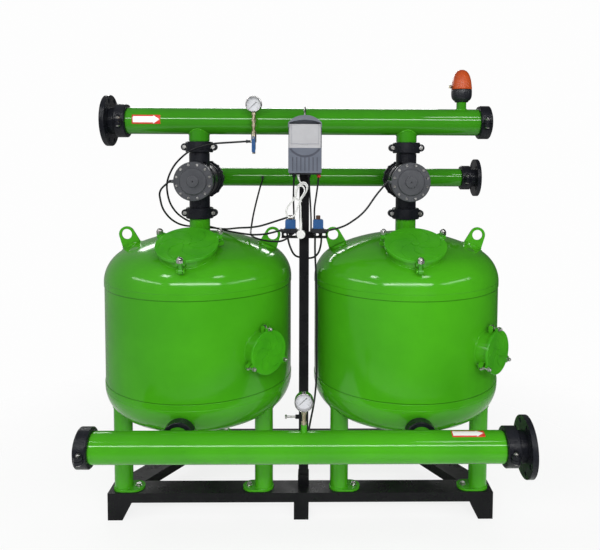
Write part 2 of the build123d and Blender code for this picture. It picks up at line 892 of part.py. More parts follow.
post_y = sleeve_y
post_front = post_y - post_half
post_back = post_y + post_half
saddle_top = inlet_z - main_r - saddle_clear
rail_slots = [(rail_left + (rail_right - rail_left) * share, (rail_low + rail_high) / 2)
              for share in (0.1, 0.26, 0.76, 0.92)]
u_leg = main_r + saddle_clear + u_bolt_r
with BuildPart() as control_post:
    with BuildSketch(Plane.XY.offset(beam_top)):
        with Locations((post_x, post_y)):
            Rectangle(2 * post_half, 2 * post_half)
            Rectangle(2 * (post_half - post_wall), 2 * (post_half - post_wall), mode=Mode.SUBTRACT)
    extrude(amount=post_top - beam_top)
    with BuildSketch(Plane.XZ.offset(-post_front)):
        with Locations((box_x, (post_plate_low + post_plate_high) / 2)):
            Rectangle(2 * post_plate_half, post_plate_high - post_plate_low)
    extrude(amount=post_plate_thick)
    with BuildSketch(Plane.XY.offset(saddle_top)):
        with Locations((post_x, (post_back + saddle_back) / 2)):
            Rectangle(2 * post_half, saddle_back - post_back)
        with Locations((post_x, -u_leg), (post_x, u_leg)):
            Circle(u_bolt_r + hole_clear, mode=Mode.SUBTRACT)
    extrude(amount=-saddle_thick)
    with BuildSketch(Plane.YZ.offset(post_x - saddle_thick / 2)):
        with BuildLine():
            Polyline((post_back, saddle_top - saddle_thick), (post_back + 50, saddle_top - saddle_thick),
                     (post_back, saddle_top - saddle_thick - 50), close=True)
        make_face()
    extrude(amount=saddle_thick)
    with BuildSketch(Plane.YZ.offset(rail_left)):
        with BuildLine():
            Polyline((post_front, rail_low), (post_front - rail_depth, rail_low),
                     (post_front - rail_depth, rail_low + rail_sheet), (post_front - rail_sheet, rail_low + rail_sheet),
                     (post_front - rail_sheet, rail_high - rail_sheet),
                     (post_front - rail_depth, rail_high - rail_sheet), (post_front - rail_depth, rail_high),
                     (post_front, rail_high), close=True)
        make_face()
    extrude(amount=rail_right - rail_left)
    with BuildSketch(Plane.XZ.offset(-post_front)):
        with Locations(*rail_slots):
            SlotOverall(rail_slot_length, rail_slot_width)
    extrude(amount=rail_sheet, mode=Mode.SUBTRACT)
    add(rod((post_x - post_half - side_boss_length, post_y, side_bolt_z), (post_x - post_half + 1, post_y, side_bolt_z),
            side_boss_r))
    add(rod((post_x - post_half - side_boss_length, post_y, side_bolt_z), (post_x, post_y, side_bolt_z),
            side_bolt_r + stem_clear), mode=Mode.SUBTRACT)
write(control_post.part, "control_post")


def through_bolt(x, y, low, high, radius):
    """Hex bolt standing up through a plate, its head and washer on top and its nut below."""
    with BuildPart() as bolt:
        with BuildSketch(Plane.XY.offset(low - 12)):
            with Locations((x, y)):
                Circle(radius)
        extrude(amount=high - low + 14)
        with BuildSketch(Plane.XY.offset(high)):
            with Locations((x, y)):
                Circle(washer_r)
        extrude(amount=washer_thick)
        with BuildSketch(Plane.XY.offset(high + washer_thick)):
            with Locations((x, y)):
                RegularPolygon(frame_bolt_head, 6, major_radius=False)
        extrude(amount=frame_bolt_head_height)
    with BuildPart() as nut:
        with BuildSketch(Plane.XY.offset(low)):
            with Locations((x, y)):
                RegularPolygon(frame_bolt_head, 6, major_radius=False)
                Circle(radius, mode=Mode.SUBTRACT)
        extrude(amount=-frame_bolt_head_height)
    return [bolt.part, nut.part]


with BuildPart() as side_bolt:
    add(rod((side_bolt_start, post_y, side_bolt_z), (post_x - post_half + post_wall, post_y, side_bolt_z),
            side_bolt_r))
    add(hex_bar((side_bolt_start, post_y, side_bolt_z), (side_bolt_start + side_bolt_head, post_y, side_bolt_z),
                frame_bolt_head - 1))

with BuildPart() as u_bolt:
    with BuildLine(Plane.YZ.offset(post_x)) as u_path:
        Line((-u_leg, inlet_z - u_bolt_drop), (-u_leg, inlet_z))
        ThreePointArc((-u_leg, inlet_z), (0, inlet_z + u_leg), (u_leg, inlet_z))
        Line((u_leg, inlet_z), (u_leg, inlet_z - u_bolt_drop))
    with BuildSketch(Plane(origin=(post_x, -u_leg, inlet_z - u_bolt_drop), z_dir=(0, 0, 1))):
        Circle(u_bolt_r)
    sweep(path=u_path.wires()[0])

u_nuts = []
for y in (-u_leg, u_leg):
    with BuildPart() as nut:
        with BuildSketch(Plane((post_x, y, saddle_top - saddle_thick))):
            RegularPolygon(u_nut_r, 6, major_radius=False)
            Circle(u_bolt_r, mode=Mode.SUBTRACT)
        extrude(amount=-u_nut_height)
    u_nuts.append(nut.part)

plate_fixings = [piece for x, y in plate_bolts
                 for piece in through_bolt(x, y, beam_top - beam_wall, plate_top, leg_bolt_r)]
group(plate_fixings + [side_bolt.part, u_bolt.part] + u_nuts, "frame_bolts")


# manifolds
upper_socket_y = -main_r - 12
with BuildPart() as inlet_manifold:
    add(rod((inlet_left, 0, inlet_z), (inlet_right, 0, inlet_z), main_r))
    for tank_x in tank_xs.values():
        add(rod((tank_x, 0, inlet_z), (tank_x, 0, stub_end), branch_r))
    add(rod((air_x, 0, inlet_z), (air_x, 0, air_stub_top), air_stub_r))
    add(rod((upper_gauge[0], -main_r + 8, inlet_z), (upper_gauge[0], upper_socket_y, inlet_z), socket_r))
    add(rod((inlet_left - 1, 0, inlet_z), (inlet_right + 1, 0, inlet_z), main_r - main_wall), mode=Mode.SUBTRACT)
    for tank_x in tank_xs.values():
        add(rod((tank_x, 0, inlet_z), (tank_x, 0, stub_end - 1), branch_r - branch_wall), mode=Mode.SUBTRACT)
        add(groove((tank_x, 0, stub_end), (0, 0, -1), branch_r), mode=Mode.SUBTRACT)
    add(rod((air_x, 0, inlet_z), (air_x, 0, air_stub_top + 1), air_stub_r - branch_wall), mode=Mode.SUBTRACT)
    add(rod((upper_gauge[0], 0, inlet_z), (upper_gauge[0], upper_socket_y - 1, inlet_z), socket_r - 4),
        mode=Mode.SUBTRACT)
    add(groove((inlet_left, 0, inlet_z), (-1, 0, 0), main_r), mode=Mode.SUBTRACT)
    add(groove((inlet_right, 0, inlet_z), (1, 0, 0), main_r), mode=Mode.SUBTRACT)
write(inlet_manifold.part, "inlet_manifold")

outlet_stub_y = nozzle_joint_y - pipe_gap / 2
with BuildPart() as outlet_manifold:
    add(rod((outlet_left, outlet_y, outlet_z), (outlet_right, outlet_y, outlet_z), main_r))
    for tank_x in tank_xs.values():
        add(rod((tank_x, outlet_y, outlet_z), (tank_x, outlet_stub_y, outlet_z), branch_r))
    add(rod((lower_gauge[0], outlet_y, outlet_z), (lower_gauge[0], outlet_y, socket_top), socket_r))
    add(rod((outlet_left - 1, outlet_y, outlet_z), (outlet_right + 1, outlet_y, outlet_z), main_r - main_wall),
        mode=Mode.SUBTRACT)
    for tank_x in tank_xs.values():
        add(rod((tank_x, outlet_y, outlet_z), (tank_x, outlet_stub_y + 1, outlet_z), branch_r - branch_wall),
            mode=Mode.SUBTRACT)
        add(groove((tank_x, outlet_stub_y, outlet_z), (0, 1, 0), branch_r), mode=Mode.SUBTRACT)
    add(rod((lower_gauge[0], outlet_y, outlet_z), (lower_gauge[0], outlet_y, socket_top + 1), socket_r - 4),
        mode=Mode.SUBTRACT)
    add(groove((outlet_left, outlet_y, outlet_z), (-1, 0, 0), main_r), mode=Mode.SUBTRACT)
    add(groove((outlet_right, outlet_y, outlet_z), (1, 0, 0), main_r), mode=Mode.SUBTRACT)
write(outlet_manifold.part, "outlet_manifold")

drain_stub_y = rear_port_y + pipe_gap
with BuildPart() as drain_manifold:
    add(rod((drain_left, drain_y, valve_z), (drain_right, drain_y, valve_z), branch_r))
    with BuildSketch(Plane(origin=(drain_left, drain_y, valve_z), x_dir=(-1, 0, 0), z_dir=(0, 1, 0))):
        with BuildLine():
            dome_outline(branch_r, drain_dome)
        make_face()
    revolve(axis=Axis((drain_left, drain_y, valve_z), (1, 0, 0)))
    for tank_x in tank_xs.values():
        add(rod((tank_x, drain_y, valve_z), (tank_x, drain_stub_y, valve_z), branch_r - stub_shrink))
    add(rod((drain_left + 1, drain_y, valve_z), (drain_right + 1, drain_y, valve_z), branch_r - branch_wall),
        mode=Mode.SUBTRACT)
    for tank_x in tank_xs.values():
        add(rod((tank_x, drain_y, valve_z), (tank_x, drain_stub_y - 1, valve_z),
                branch_r - branch_wall - stub_shrink), mode=Mode.SUBTRACT)
        add(groove((tank_x, drain_stub_y, valve_z), (0, -1, 0), branch_r), mode=Mode.SUBTRACT)
    add(groove((drain_right, drain_y, valve_z), (1, 0, 0), branch_r), mode=Mode.SUBTRACT)
write(drain_manifold.part, "drain_manifold")


def flange_adapter(joint, face, outward, pipe_r, wall, flange):
    """Grooved pipe end with a bolting flange whose face lies at face."""
    flange_r, thick, bolt_circle, count = flange
    disc = Plane(origin=face, z_dir=outward)
    with BuildPart() as adapter:
        add(rod(joint, face, pipe_r))
        with BuildSketch(disc):
            Circle(flange_r)
        extrude(amount=-thick)
        add(rod(joint, face, pipe_r - wall), mode=Mode.SUBTRACT)
        with BuildSketch(disc):
            with PolarLocations(bolt_circle / 2, count, start_angle=180 / count):
                Circle(flange_hole_r)
        extrude(amount=-thick, mode=Mode.SUBTRACT)
        add(groove(joint, tuple(-Vector(*outward)), pipe_r), mode=Mode.SUBTRACT)
    return adapter.part


main_flange = (main_flange_r, main_flange_thick, main_bolt_circle, main_bolt_count)
drain_flange = (drain_flange_r, drain_flange_thick, drain_bolt_circle, drain_bolt_count)
inlet_face = (inlet_left - adapter_length, 0, inlet_z)
outlet_face = (outlet_right + adapter_length, outlet_y, outlet_z)
drain_face = (drain_right + drain_adapter_length, drain_y, valve_z)
inlet_adapter = flange_adapter((inlet_left - pipe_gap, 0, inlet_z), inlet_face, (-1, 0, 0), main_r, main_wall,
                               main_flange)
outlet_adapter = flange_adapter((outlet_right + pipe_gap, outlet_y, outlet_z), outlet_face, (1, 0, 0), main_r,
                                main_wall, main_flange)
group([inlet_adapter, outlet_adapter], "main_flange_adapters")
write(flange_adapter((drain_right + pipe_gap, drain_y, valve_z), drain_face, (1, 0, 0), branch_r, branch_wall,
                     drain_flange), "drain_flange_adapter")


def end_cap(joint, outward):
    """Grooved cap that closes a manifold's end, with a low domed face."""
    axis = Vector(*outward)
    closed = Vector(*joint) + axis * cap_length
    inner_end = closed - axis * cap_wall
    with BuildPart() as cap:
        add(rod(joint, tuple(closed), main_r))
        with BuildSketch(Plane(origin=closed, x_dir=outward, z_dir=(0, 1, 0))):
            with BuildLine():
                dome_outline(main_r, cap_dome)
            make_face()
        revolve(axis=Axis(closed, axis))
        add(rod(joint, tuple(inner_end), main_r - main_wall), mode=Mode.SUBTRACT)
        add(groove(joint, tuple(-axis), main_r), mode=Mode.SUBTRACT)
    return cap.part


group([end_cap((inlet_right + pipe_gap, 0, inlet_z), (1, 0, 0)),
       end_cap((outlet_left - pipe_gap, outlet_y, outlet_z), (-1, 0, 0))], "end_caps")


def coupling(pipe_r):
    """Grooved coupling about the local Z: two housing halves, one gasket, two bolts with nuts."""
    housing_r = pipe_r + gasket_space + housing_wall
    bolt_x = pipe_r + ear_reach
    with BuildPart() as half:
        with BuildSketch(Plane.XY.offset(-coupling_half_width)):
            Circle(housing_r)
        extrude(amount=2 * coupling_half_width)
        chamfer(half.edges().filter_by(GeomType.CIRCLE), length=3)
        with BuildSketch(Plane.XZ.offset(-ear_half)):
            with Locations((-bolt_x, 0), (bolt_x, 0)):
                Circle(ear_r)
            Rectangle(2 * bolt_x, 2 * ear_r)
        extrude(amount=2 * ear_half)
        with BuildSketch(Plane.XY.offset(-coupling_half_width)):
            Circle(pipe_r - groove_depth + key_clear)
        extrude(amount=2 * coupling_half_width, mode=Mode.SUBTRACT)
        with BuildSketch(Plane.XY.offset(-key_inner)):
            Circle(pipe_r + gasket_space)
        extrude(amount=2 * key_inner, mode=Mode.SUBTRACT)
        with BuildSketch(Plane.XZ.offset(-housing_r)):
            with Locations((-bolt_x, 0), (bolt_x, 0)):
                Circle(clamp_bolt_r + hole_clear)
        extrude(amount=2 * housing_r, mode=Mode.SUBTRACT)
        with BuildSketch(Plane.XZ.offset(-ear_half)):
            with Locations((-bolt_x, 0), (bolt_x, 0)):
                Circle(clamp_head_r + spot_margin)
        extrude(amount=-housing_r, mode=Mode.SUBTRACT)
        with BuildSketch(Plane.XZ.offset(-ear_gap)):
            Rectangle(4 * housing_r, 4 * housing_r)
        extrude(amount=2 * housing_r, mode=Mode.SUBTRACT)
    with BuildPart() as gasket:
        with BuildSketch(Plane.XY.offset(slip - key_inner)):
            Circle(pipe_r + gasket_space - slip)
            Circle(pipe_r + slip, mode=Mode.SUBTRACT)
        extrude(amount=2 * (key_inner - slip))
        with BuildSketch(Plane.XY.offset(-key_inner / 2)):
            Circle(pipe_r + gasket_space / 2)
        extrude(amount=key_inner, mode=Mode.SUBTRACT)
    fixings = []
    for x in (-bolt_x, bolt_x):
        with BuildPart() as bolt:
            with BuildSketch(Plane(origin=(x, ear_half, 0), z_dir=(0, -1, 0))):
                Circle(clamp_bolt_r)
            extrude(amount=2 * ear_half + clamp_head_height + 3)
            with BuildSketch(Plane(origin=(x, ear_half, 0), z_dir=(0, 1, 0))):
                RegularPolygon(clamp_head_r, 6, major_radius=False)
            extrude(amount=clamp_head_height)
        with BuildPart() as nut:
            with BuildSketch(Plane(origin=(x, -ear_half, 0), z_dir=(0, -1, 0))):
                RegularPolygon(clamp_head_r, 6, major_radius=False)
                Circle(clamp_bolt_r, mode=Mode.SUBTRACT)
            extrude(amount=clamp_head_height)
        fixings += [bolt.part, nut.part]
    return [half.part, half.part.mirror(Plane.XZ)], [gasket.part], fixings


def joint_plane(centre, axis, ears):
    return Plane(origin=centre, x_dir=ears, z_dir=axis).location


ear_dip = -0.1
main_joints = [
    joint_plane((inlet_left - pipe_gap / 2, 0, inlet_z), (1, 0, 0), (0, -1, ear_dip)),
    joint_plane((inlet_right + pipe_gap / 2, 0, inlet_z), (1, 0, 0), (0, -1, ear_dip)),
    joint_plane((outlet_left - pipe_gap / 2, outlet_y, outlet_z), (1, 0, 0), (0, -1, ear_dip)),
    joint_plane((outlet_right + pipe_gap / 2, outlet_y, outlet_z), (1, 0, 0), (0, -1, ear_dip)),
]
branch_joints = [joint_plane((drain_right + pipe_gap / 2, drain_y, valve_z), (1, 0, 0), (0, -1, ear_dip))]
for tank_x in tank_xs.values():
    branch_joints += [
        joint_plane((tank_x, 0, upper_joint), (0, 0, 1), (1, 0, 0)),
        joint_plane((tank_x, 0, lower_joint), (0, 0, 1), (1, 0, 0)),
        joint_plane((tank_x, rear_joint, valve_z), (0, 1, 0), (1, 0, 0)),
        joint_plane((tank_x, nozzle_joint_y, outlet_z), (0, 1, 0), (1, 0, 0)),
    ]
housings, gaskets, clamp_bolts = [], [], []
for pipe_r, joints in ((main_r, main_joints), (branch_r, branch_joints)):
    shells, seals, fixings = coupling(pipe_r)
    for joint in joints:
        housings += [shape.moved(joint) for shape in shells]
        gaskets += [shape.moved(joint) for shape in seals]
        clamp_bolts += [shape.moved(joint) for shape in fixings]
group(housings, "coupling_housings")
group(gaskets, "coupling_gaskets")
group(clamp_bolts, "coupling_bolts")


# three-way backwash valves
cover_back_y = cover_face_y + cover_flange
body_face_y = cover_back_y + diaphragm_thick
cavity_r = drum_r - drum_wall
ring_back_y = drum_back_y + rear_ring_thick
guide_end_y = -112
guide_r = 9
screw_spots = [(screw_circle * math.cos(math.radians(a)), screw_circle * math.sin(math.radians(a)))
               for a in [15 + 360 / screw_count * k for k in range(screw_count)]]
disc_back_y = drain_seat_y - rest_gap
disc_front_y = disc_back_y - disc_thick


def across(y, flip=False):
    """Plane across the valve's axis at y, seen from the front."""
    return Plane(origin=(0, y, valve_z), x_dir=(1, 0, 0), z_dir=(0, 1 if flip else -1, 0))


with BuildPart() as valve_body:
    with BuildSketch(across(body_face_y)):
        Circle(cover_r)
    extrude(amount=-cover_flange)
    with BuildSketch(across(body_face_y)):
        Circle(drum_r)
    extrude(amount=body_face_y - ring_back_y)
    for y in (-66, 60):
        with BuildSketch(across(y)):
            Circle(drum_rib_r)
        extrude(amount=-rib_thick)
    with BuildSketch(across(drum_back_y)):
        Circle(rear_ring_r)
        with PolarLocations(rear_ring_r - 5, rear_lug_count):
            Circle(rear_lug_r)
    extrude(amount=-rear_ring_thick)
    add(rod((0, ring_back_y - 2, valve_z), (0, rear_port_y, valve_z), branch_r))
    add(rod((0, 0, valve_z - valve_half), (0, 0, valve_z + valve_half), branch_r))
    with BuildSketch(across(body_face_y)):
        Circle(cavity_r)
    extrude(amount=body_face_y - partition_y, mode=Mode.SUBTRACT)
    with BuildSketch(across(partition_y + partition_thick)):
        Circle(cavity_r)
    extrude(amount=partition_y + partition_thick - drain_seat_y, mode=Mode.SUBTRACT)
    with BuildSketch(across(drain_seat_y + partition_thick)):
        Circle(cavity_r)
    extrude(amount=drain_seat_y + partition_thick - drum_back_y, mode=Mode.SUBTRACT)
    with BuildSketch(across(partition_y - 1)):
        Circle(seat_r)
    extrude(amount=partition_y - drain_seat_y - partition_thick - 2, mode=Mode.SUBTRACT)
    add(rod((0, drum_back_y - 1, valve_z), (0, rear_port_y + 1, valve_z), branch_r - branch_wall),
        mode=Mode.SUBTRACT)
    for up in (-1, 1):
        add(rod((0, 0, valve_z + up * (drum_r + 4)), (0, 0, valve_z + up * (valve_half + 1)),
                branch_r - branch_wall), mode=Mode.SUBTRACT)
        add(groove((0, 0, valve_z + up * valve_half), (0, 0, up), branch_r), mode=Mode.SUBTRACT)
    with BuildSketch(Plane.XY.offset(valve_z + cavity_r - 12)):
        with Locations((0, partition_y - 1 - port_slot / 2)):
            Rectangle(2 * port_slot, port_slot)
    extrude(amount=drum_r - cavity_r + 18, mode=Mode.SUBTRACT)
    with BuildSketch(Plane.XY.offset(valve_z - cavity_r + 12)):
        with Locations((0, partition_y + partition_thick + 1 + port_slot / 2)):
            Rectangle(2 * port_slot, port_slot)
    extrude(amount=-(drum_r - cavity_r + 18), mode=Mode.SUBTRACT)
    add(groove((0, rear_port_y, valve_z), (0, 1, 0), branch_r), mode=Mode.SUBTRACT)
    with BuildSketch(across(body_face_y)):
        with Locations(*screw_spots):
            Circle(screw_r + stem_clear)
    extrude(amount=-cover_flange, mode=Mode.SUBTRACT)

with BuildPart() as valve_cover:
    with BuildSketch(across(cover_back_y)):
        Circle(cover_r)
    extrude(amount=cover_flange)
    chamfer(valve_cover.faces().sort_by(Axis.Y)[0].edges(), length=2)
    with BuildSketch(across(cover_face_y)):
        Circle(cover_dome_r)
    extrude(amount=cover_dome_rise)
    chamfer(valve_cover.faces().sort_by(Axis.Y)[0].edges(), length=4)
    with BuildSketch(across(cover_face_y - cover_dome_rise)):
        Circle(cover_boss_r)
    extrude(amount=cover_boss_rise)
    fillet(valve_cover.faces().sort_by(Axis.Y)[0].edges(), radius=2)
    with BuildSketch(across(cover_back_y)):
        Circle(cover_dome_r - 6)
    extrude(amount=cover_flange - 6, mode=Mode.SUBTRACT)
    with BuildSketch(across(guide_end_y)):
        Circle(guide_r)
    extrude(amount=guide_end_y - cover_face_y - 4)
    with BuildSketch(across(guide_end_y)):
        Circle(stem_r + stem_clear)
    extrude(amount=guide_end_y - cover_face_y + cover_dome_rise, mode=Mode.SUBTRACT)
    with BuildSketch(across(guide_end_y)):
        Circle(cover_vent_r)
    extrude(amount=guide_end_y - cover_face_y + 3 * cover_dome_rise, mode=Mode.SUBTRACT)
    add(rod((-cover_r + 6, cover_face_y + cover_flange / 2, valve_z),
            (-cover_r - pilot_reach, cover_face_y + cover_flange / 2, valve_z), pilot_r))
    with BuildSketch(across(cover_back_y)):
        with Locations(*screw_spots):
            Circle(screw_r + hole_clear)
    extrude(amount=cover_flange + 1, mode=Mode.SUBTRACT)

with BuildPart() as diaphragm:
    with BuildSketch(across(cover_back_y)):
        Circle(cover_r)
        Circle(guide_r + 1, mode=Mode.SUBTRACT)
        with Locations(*screw_spots):
            Circle(screw_r + hole_clear, mode=Mode.SUBTRACT)
    extrude(amount=-diaphragm_thick)

with BuildPart() as valve_stem:
    add(rod((0, stem_front_y, valve_z), (0, disc_front_y + 1, valve_z), stem_r))
    with BuildSketch(across(disc_front_y)):
        Circle(disc_r)
    extrude(amount=-disc_thick)
    chamfer(valve_stem.faces().sort_by(Axis.Y)[-1].edges(), length=1.5)

cover_screws = []
for x, z in screw_spots:
    with BuildPart() as screw:
        with BuildSketch(across(cover_face_y)):
            with Locations((x, z)):
                RegularPolygon(screw_head_r, 6, major_radius=False)
        extrude(amount=screw_head_height)
        with BuildSketch(across(cover_face_y)):
            with Locations((x, z)):
                Circle(screw_r)
        extrude(amount=-(2 * cover_flange + diaphragm_thick - 1))
    cover_screws.append(screw.part)

for side, tank_x in tank_xs.items():
    write(Pos(tank_x, 0, 0) * valve_body.part, f"valve_body_{side}")
    write(Pos(tank_x, 0, 0) * valve_cover.part, f"valve_cover_{side}")
    write(Pos(tank_x, 0, 0) * valve_stem.part, f"valve_stem_{side}")
group([Pos(tank_x, 0, 0) * diaphragm.part for tank_x in tank_xs.values()], "valve_diaphragms")
group([Pos(tank_x, 0, 0) * screw for tank_x in tank_xs.values() for screw in cover_screws], "valve_cover_screws")


# air release valve
with BuildPart() as air_base:
    with BuildSketch(Plane.XZ):
        with BuildLine():
            Polyline((air_bore_r, air_stub_top), (air_neck_r, air_stub_top), (air_neck_r, air_stub_top + 18),
                     (air_cap_r - 6, air_base_top - 22), (air_cap_r - 4, air_base_top),
                     (air_cavity_r, air_base_top), (air_cavity_r, air_base_top - 12),
                     (air_bore_r, air_base_top - 12), close=True)
        make_face()
    revolve(axis=Axis.Z)
write(Pos(air_x, 0, 0) * air_base.part, "air_valve_base")

cap_skin = 4
with BuildPart() as air_cap:
    with BuildSketch(Plane.XY.offset(air_cap_low)):
        Circle(air_cap_r)
    extrude(amount=air_cap_top - air_cap_low)
    fillet(air_cap.faces().sort_by(Axis.Z)[-1].edges(), radius=18)
    with BuildSketch(Plane.XY.offset(air_cap_low)):
        with PolarLocations(air_cap_r + 1, cap_grip_count):
            Circle(2.2)
    extrude(amount=air_cap_top - air_cap_low - 24, mode=Mode.SUBTRACT)
    with BuildSketch(Plane.XY.offset(air_cap_low)):
        Circle(air_cap_r - 4 + slip)
    extrude(amount=air_base_top - air_cap_low, mode=Mode.SUBTRACT)
    with BuildSketch(Plane.XY.offset(air_base_top)):
        Circle(air_cavity_r)
    extrude(amount=air_cap_top - cap_skin - 8 - air_base_top, mode=Mode.SUBTRACT)
    add(rod((-air_cap_r + 12, 0, air_outlet_z), (-air_cap_r - air_outlet_reach, 0, air_outlet_z), air_outlet_r))
    add(rod((-air_cavity_r + 2, 0, air_outlet_z), (-air_cap_r - air_outlet_reach - 1, 0, air_outlet_z),
            air_outlet_r - 3), mode=Mode.SUBTRACT)
write(Pos(air_x, 0, 0) * air_cap.part, "air_valve_cap")

with BuildPart() as air_float:
    with BuildSketch(Plane.XY.offset(air_base_top - 12 + float_clear)):
        Circle(float_r)
    extrude(amount=float_height)
    fillet(air_float.edges().filter_by(GeomType.CIRCLE), radius=6)
write(Pos(air_x, 0, 0) * air_float.part, "air_valve_float")


# pressure gauges
def gauge(place):
    """Case, dial with its pivot, and lens of a gauge facing the front."""
    x, y, z = place
    front = y - gauge_half_depth
    back = y + gauge_half_depth
    face = Plane(origin=(x, front, z), x_dir=(1, 0, 0), z_dir=(0, -1, 0))
    inner = gauge_r - gauge_wall
    dial_depth = 2 * gauge_half_depth - gauge_wall - dial_thick
    with BuildPart() as case:
        with BuildSketch(face):
            Circle(gauge_r)
        extrude(amount=front - back)
        fillet(case.edges().filter_by(GeomType.CIRCLE), radius=1.4)
        with BuildSketch(face):
            Circle(inner)
        extrude(amount=-(dial_depth + dial_thick), mode=Mode.SUBTRACT)
    with BuildPart() as dial:
        with BuildSketch(face.offset(-dial_depth)):
            Circle(inner - slip)
        extrude(amount=-dial_thick)
        with BuildSketch(face.offset(-dial_depth)):
            Circle(needle_pin_r)
        extrude(amount=pin_height)
    with BuildPart() as lens:
        with BuildSketch(face.offset(-3)):
            Circle(inner - slip)
        extrude(amount=-lens_thick)
    with BuildPart() as needle:
        height = face.offset(-dial_depth + needle_lift)
        turned = Plane(height.location * Rot(0, 0, needle_rest))
        with BuildSketch(turned):
            Circle(needle_hub_r)
            Polygon((0, -1.3), (needle_reach, -0.35), (needle_reach, 0.35), (0, 1.3), align=None)
            Polygon((0, -0.8), (0, 0.8), (-needle_tail, 0.8), (-needle_tail, -0.8), align=None)
            with Locations((-needle_tail, 0)):
                Circle(needle_hub_r)
            Circle(needle_pin_r + needle_clear, mode=Mode.SUBTRACT)
        extrude(amount=needle_thick)
    return case.part, dial.part, lens.part, needle.part


upper = gauge(upper_gauge)
lower = gauge(lower_gauge)
group([upper[0], lower[0]], "gauge_cases")
group([upper[1], lower[1]], "gauge_dials")
group([upper[2], lower[2]], "gauge_lenses")
write(upper[3], "needle_upper")
write(lower[3], "needle_lower")

chain_x, chain_y, chain_top = upper_gauge[0], upper_gauge[1], upper_gauge[2] - gauge_r
with BuildPart() as chain:
    add(rod((chain_x, chain_y, chain_top), (chain_x, chain_y, chain_end_z), gauge_stem_r))
    for low, high, flat_r in ((chain_top - 12, chain_top, 8), (inlet_z - 26, inlet_z - 16, 8.5),
                              (inlet_z - 62, inlet_z - 44, 9), (lever_pivot_z - 18, lever_pivot_z + 14, 9.5)):
        add(hex_bar((chain_x, chain_y, low), (chain_x, chain_y, high), flat_r))
    for low, high in ((inlet_z - 12, inlet_z + 12), (lever_pivot_z - 48, lever_pivot_z - 18)):
        add(rod((chain_x, chain_y, low), (chain_x, chain_y, high), 8))
    add(rod((chain_x, chain_y, inlet_z), (chain_x, upper_socket_y, inlet_z), 9))
    add(rod((chain_x, chain_y, lever_pivot_z), (chain_x, chain_y - lever_pin_reach, lever_pivot_z), lever_pin_r))
    add(rod((chain_x - 6, chain_y, line_branch_z), (chain_x - 14, chain_y, line_branch_z), 6))
with BuildPart() as stalk:
    x, y, z = lower_gauge
    add(rod((x, y, socket_top), (x, y, z - gauge_r), gauge_stem_r + 0.5))
    add(hex_bar((x, y, z - gauge_r - 12), (x, y, z - gauge_r), 8))
    add(hex_bar((x, y, socket_top), (x, y, socket_top + 12), 8.5))
group([chain.part, stalk.part], "gauge_fittings")

lever_face = Plane(origin=(chain_x, chain_y - 11, lever_pivot_z), x_dir=(1, 0, 0), z_dir=(0, -1, 0))
with BuildPart() as gauge_valve_lever:
    with BuildSketch(lever_face):
        with Locations((0, -lever_length / 2)):
            Rectangle(2 * lever_half, lever_length)
        Circle(lever_half)
        with Locations((0, -lever_length)):
            Circle(lever_half)
        Circle(lever_pin_r + stem_clear, mode=Mode.SUBTRACT)
    extrude(amount=lever_thick)
write(gauge_valve_lever.part, "gauge_valve_lever")


# controller on the post
box_back = post_front - post_plate_thick


def front_plane(y):
    """Upright plane facing the front, its X and Y along the object's X and Z."""
    return Plane(origin=(0, y, 0), x_dir=(1, 0, 0), z_dir=(0, -1, 0))


def hood_outline(half, shoulder, top):
    """Arched outline of the controller, flat below."""
    return [(box_x - half, box_low), (box_x - half, shoulder), (box_x, top), (box_x + half, shoulder),
            (box_x + half, box_low)]


with BuildPart() as controller_case:
    with BuildSketch(front_plane(box_back)):
        with BuildLine():
            points = hood_outline(box_half, hood_shoulder, hood_top)
            Polyline(points[3], points[4], points[0], points[1])
            ThreePointArc(points[1], points[2], points[3])
        make_face()
    extrude(amount=box_back - hood_front)
    fillet(controller_case.edges().filter_by(Axis.Y).sort_by(Axis.Z)[-2:], radius=12)
    with BuildSketch(front_plane(hood_front)):
        with Locations((box_x, (box_low + hood_side) / 2 - 1)):
            Rectangle(2 * box_half + 2, hood_side - box_low + 2)
    extrude(amount=-(box_mid - hood_front), mode=Mode.SUBTRACT)
    with BuildSketch(front_plane(hood_front)):
        with BuildLine():
            points = hood_outline(box_half - hood_wall, hood_shoulder - 2, hood_lip)
            Polyline(points[3], points[4], points[0], points[1])
            ThreePointArc(points[1], points[2], points[3])
        make_face()
    extrude(amount=-(box_mid - hood_front), mode=Mode.SUBTRACT)
    with BuildSketch(front_plane(box_mid)):
        with Locations((box_x, (box_low + hood_side) / 2)):
            Rectangle(2 * (box_half - box_wall), hood_side - box_low - 2 * box_wall)
    extrude(amount=-(box_back - box_mid - box_wall), mode=Mode.SUBTRACT)
    with BuildSketch(Plane.XY.offset(box_low)):
        with Locations((box_x, (box_back + box_mid) / 2)):
            Rectangle(2 * box_half - 6, box_back - box_mid - 6)
    extrude(amount=-ledge_drop)
    with BuildSketch(Plane.XY.offset(box_low - ledge_drop)):
        with Locations(*gland_spots):
            Circle(gland_bore_r)
    extrude(amount=ledge_drop + box_wall + 1, mode=Mode.SUBTRACT)
write(controller_case.part, "controller_case")

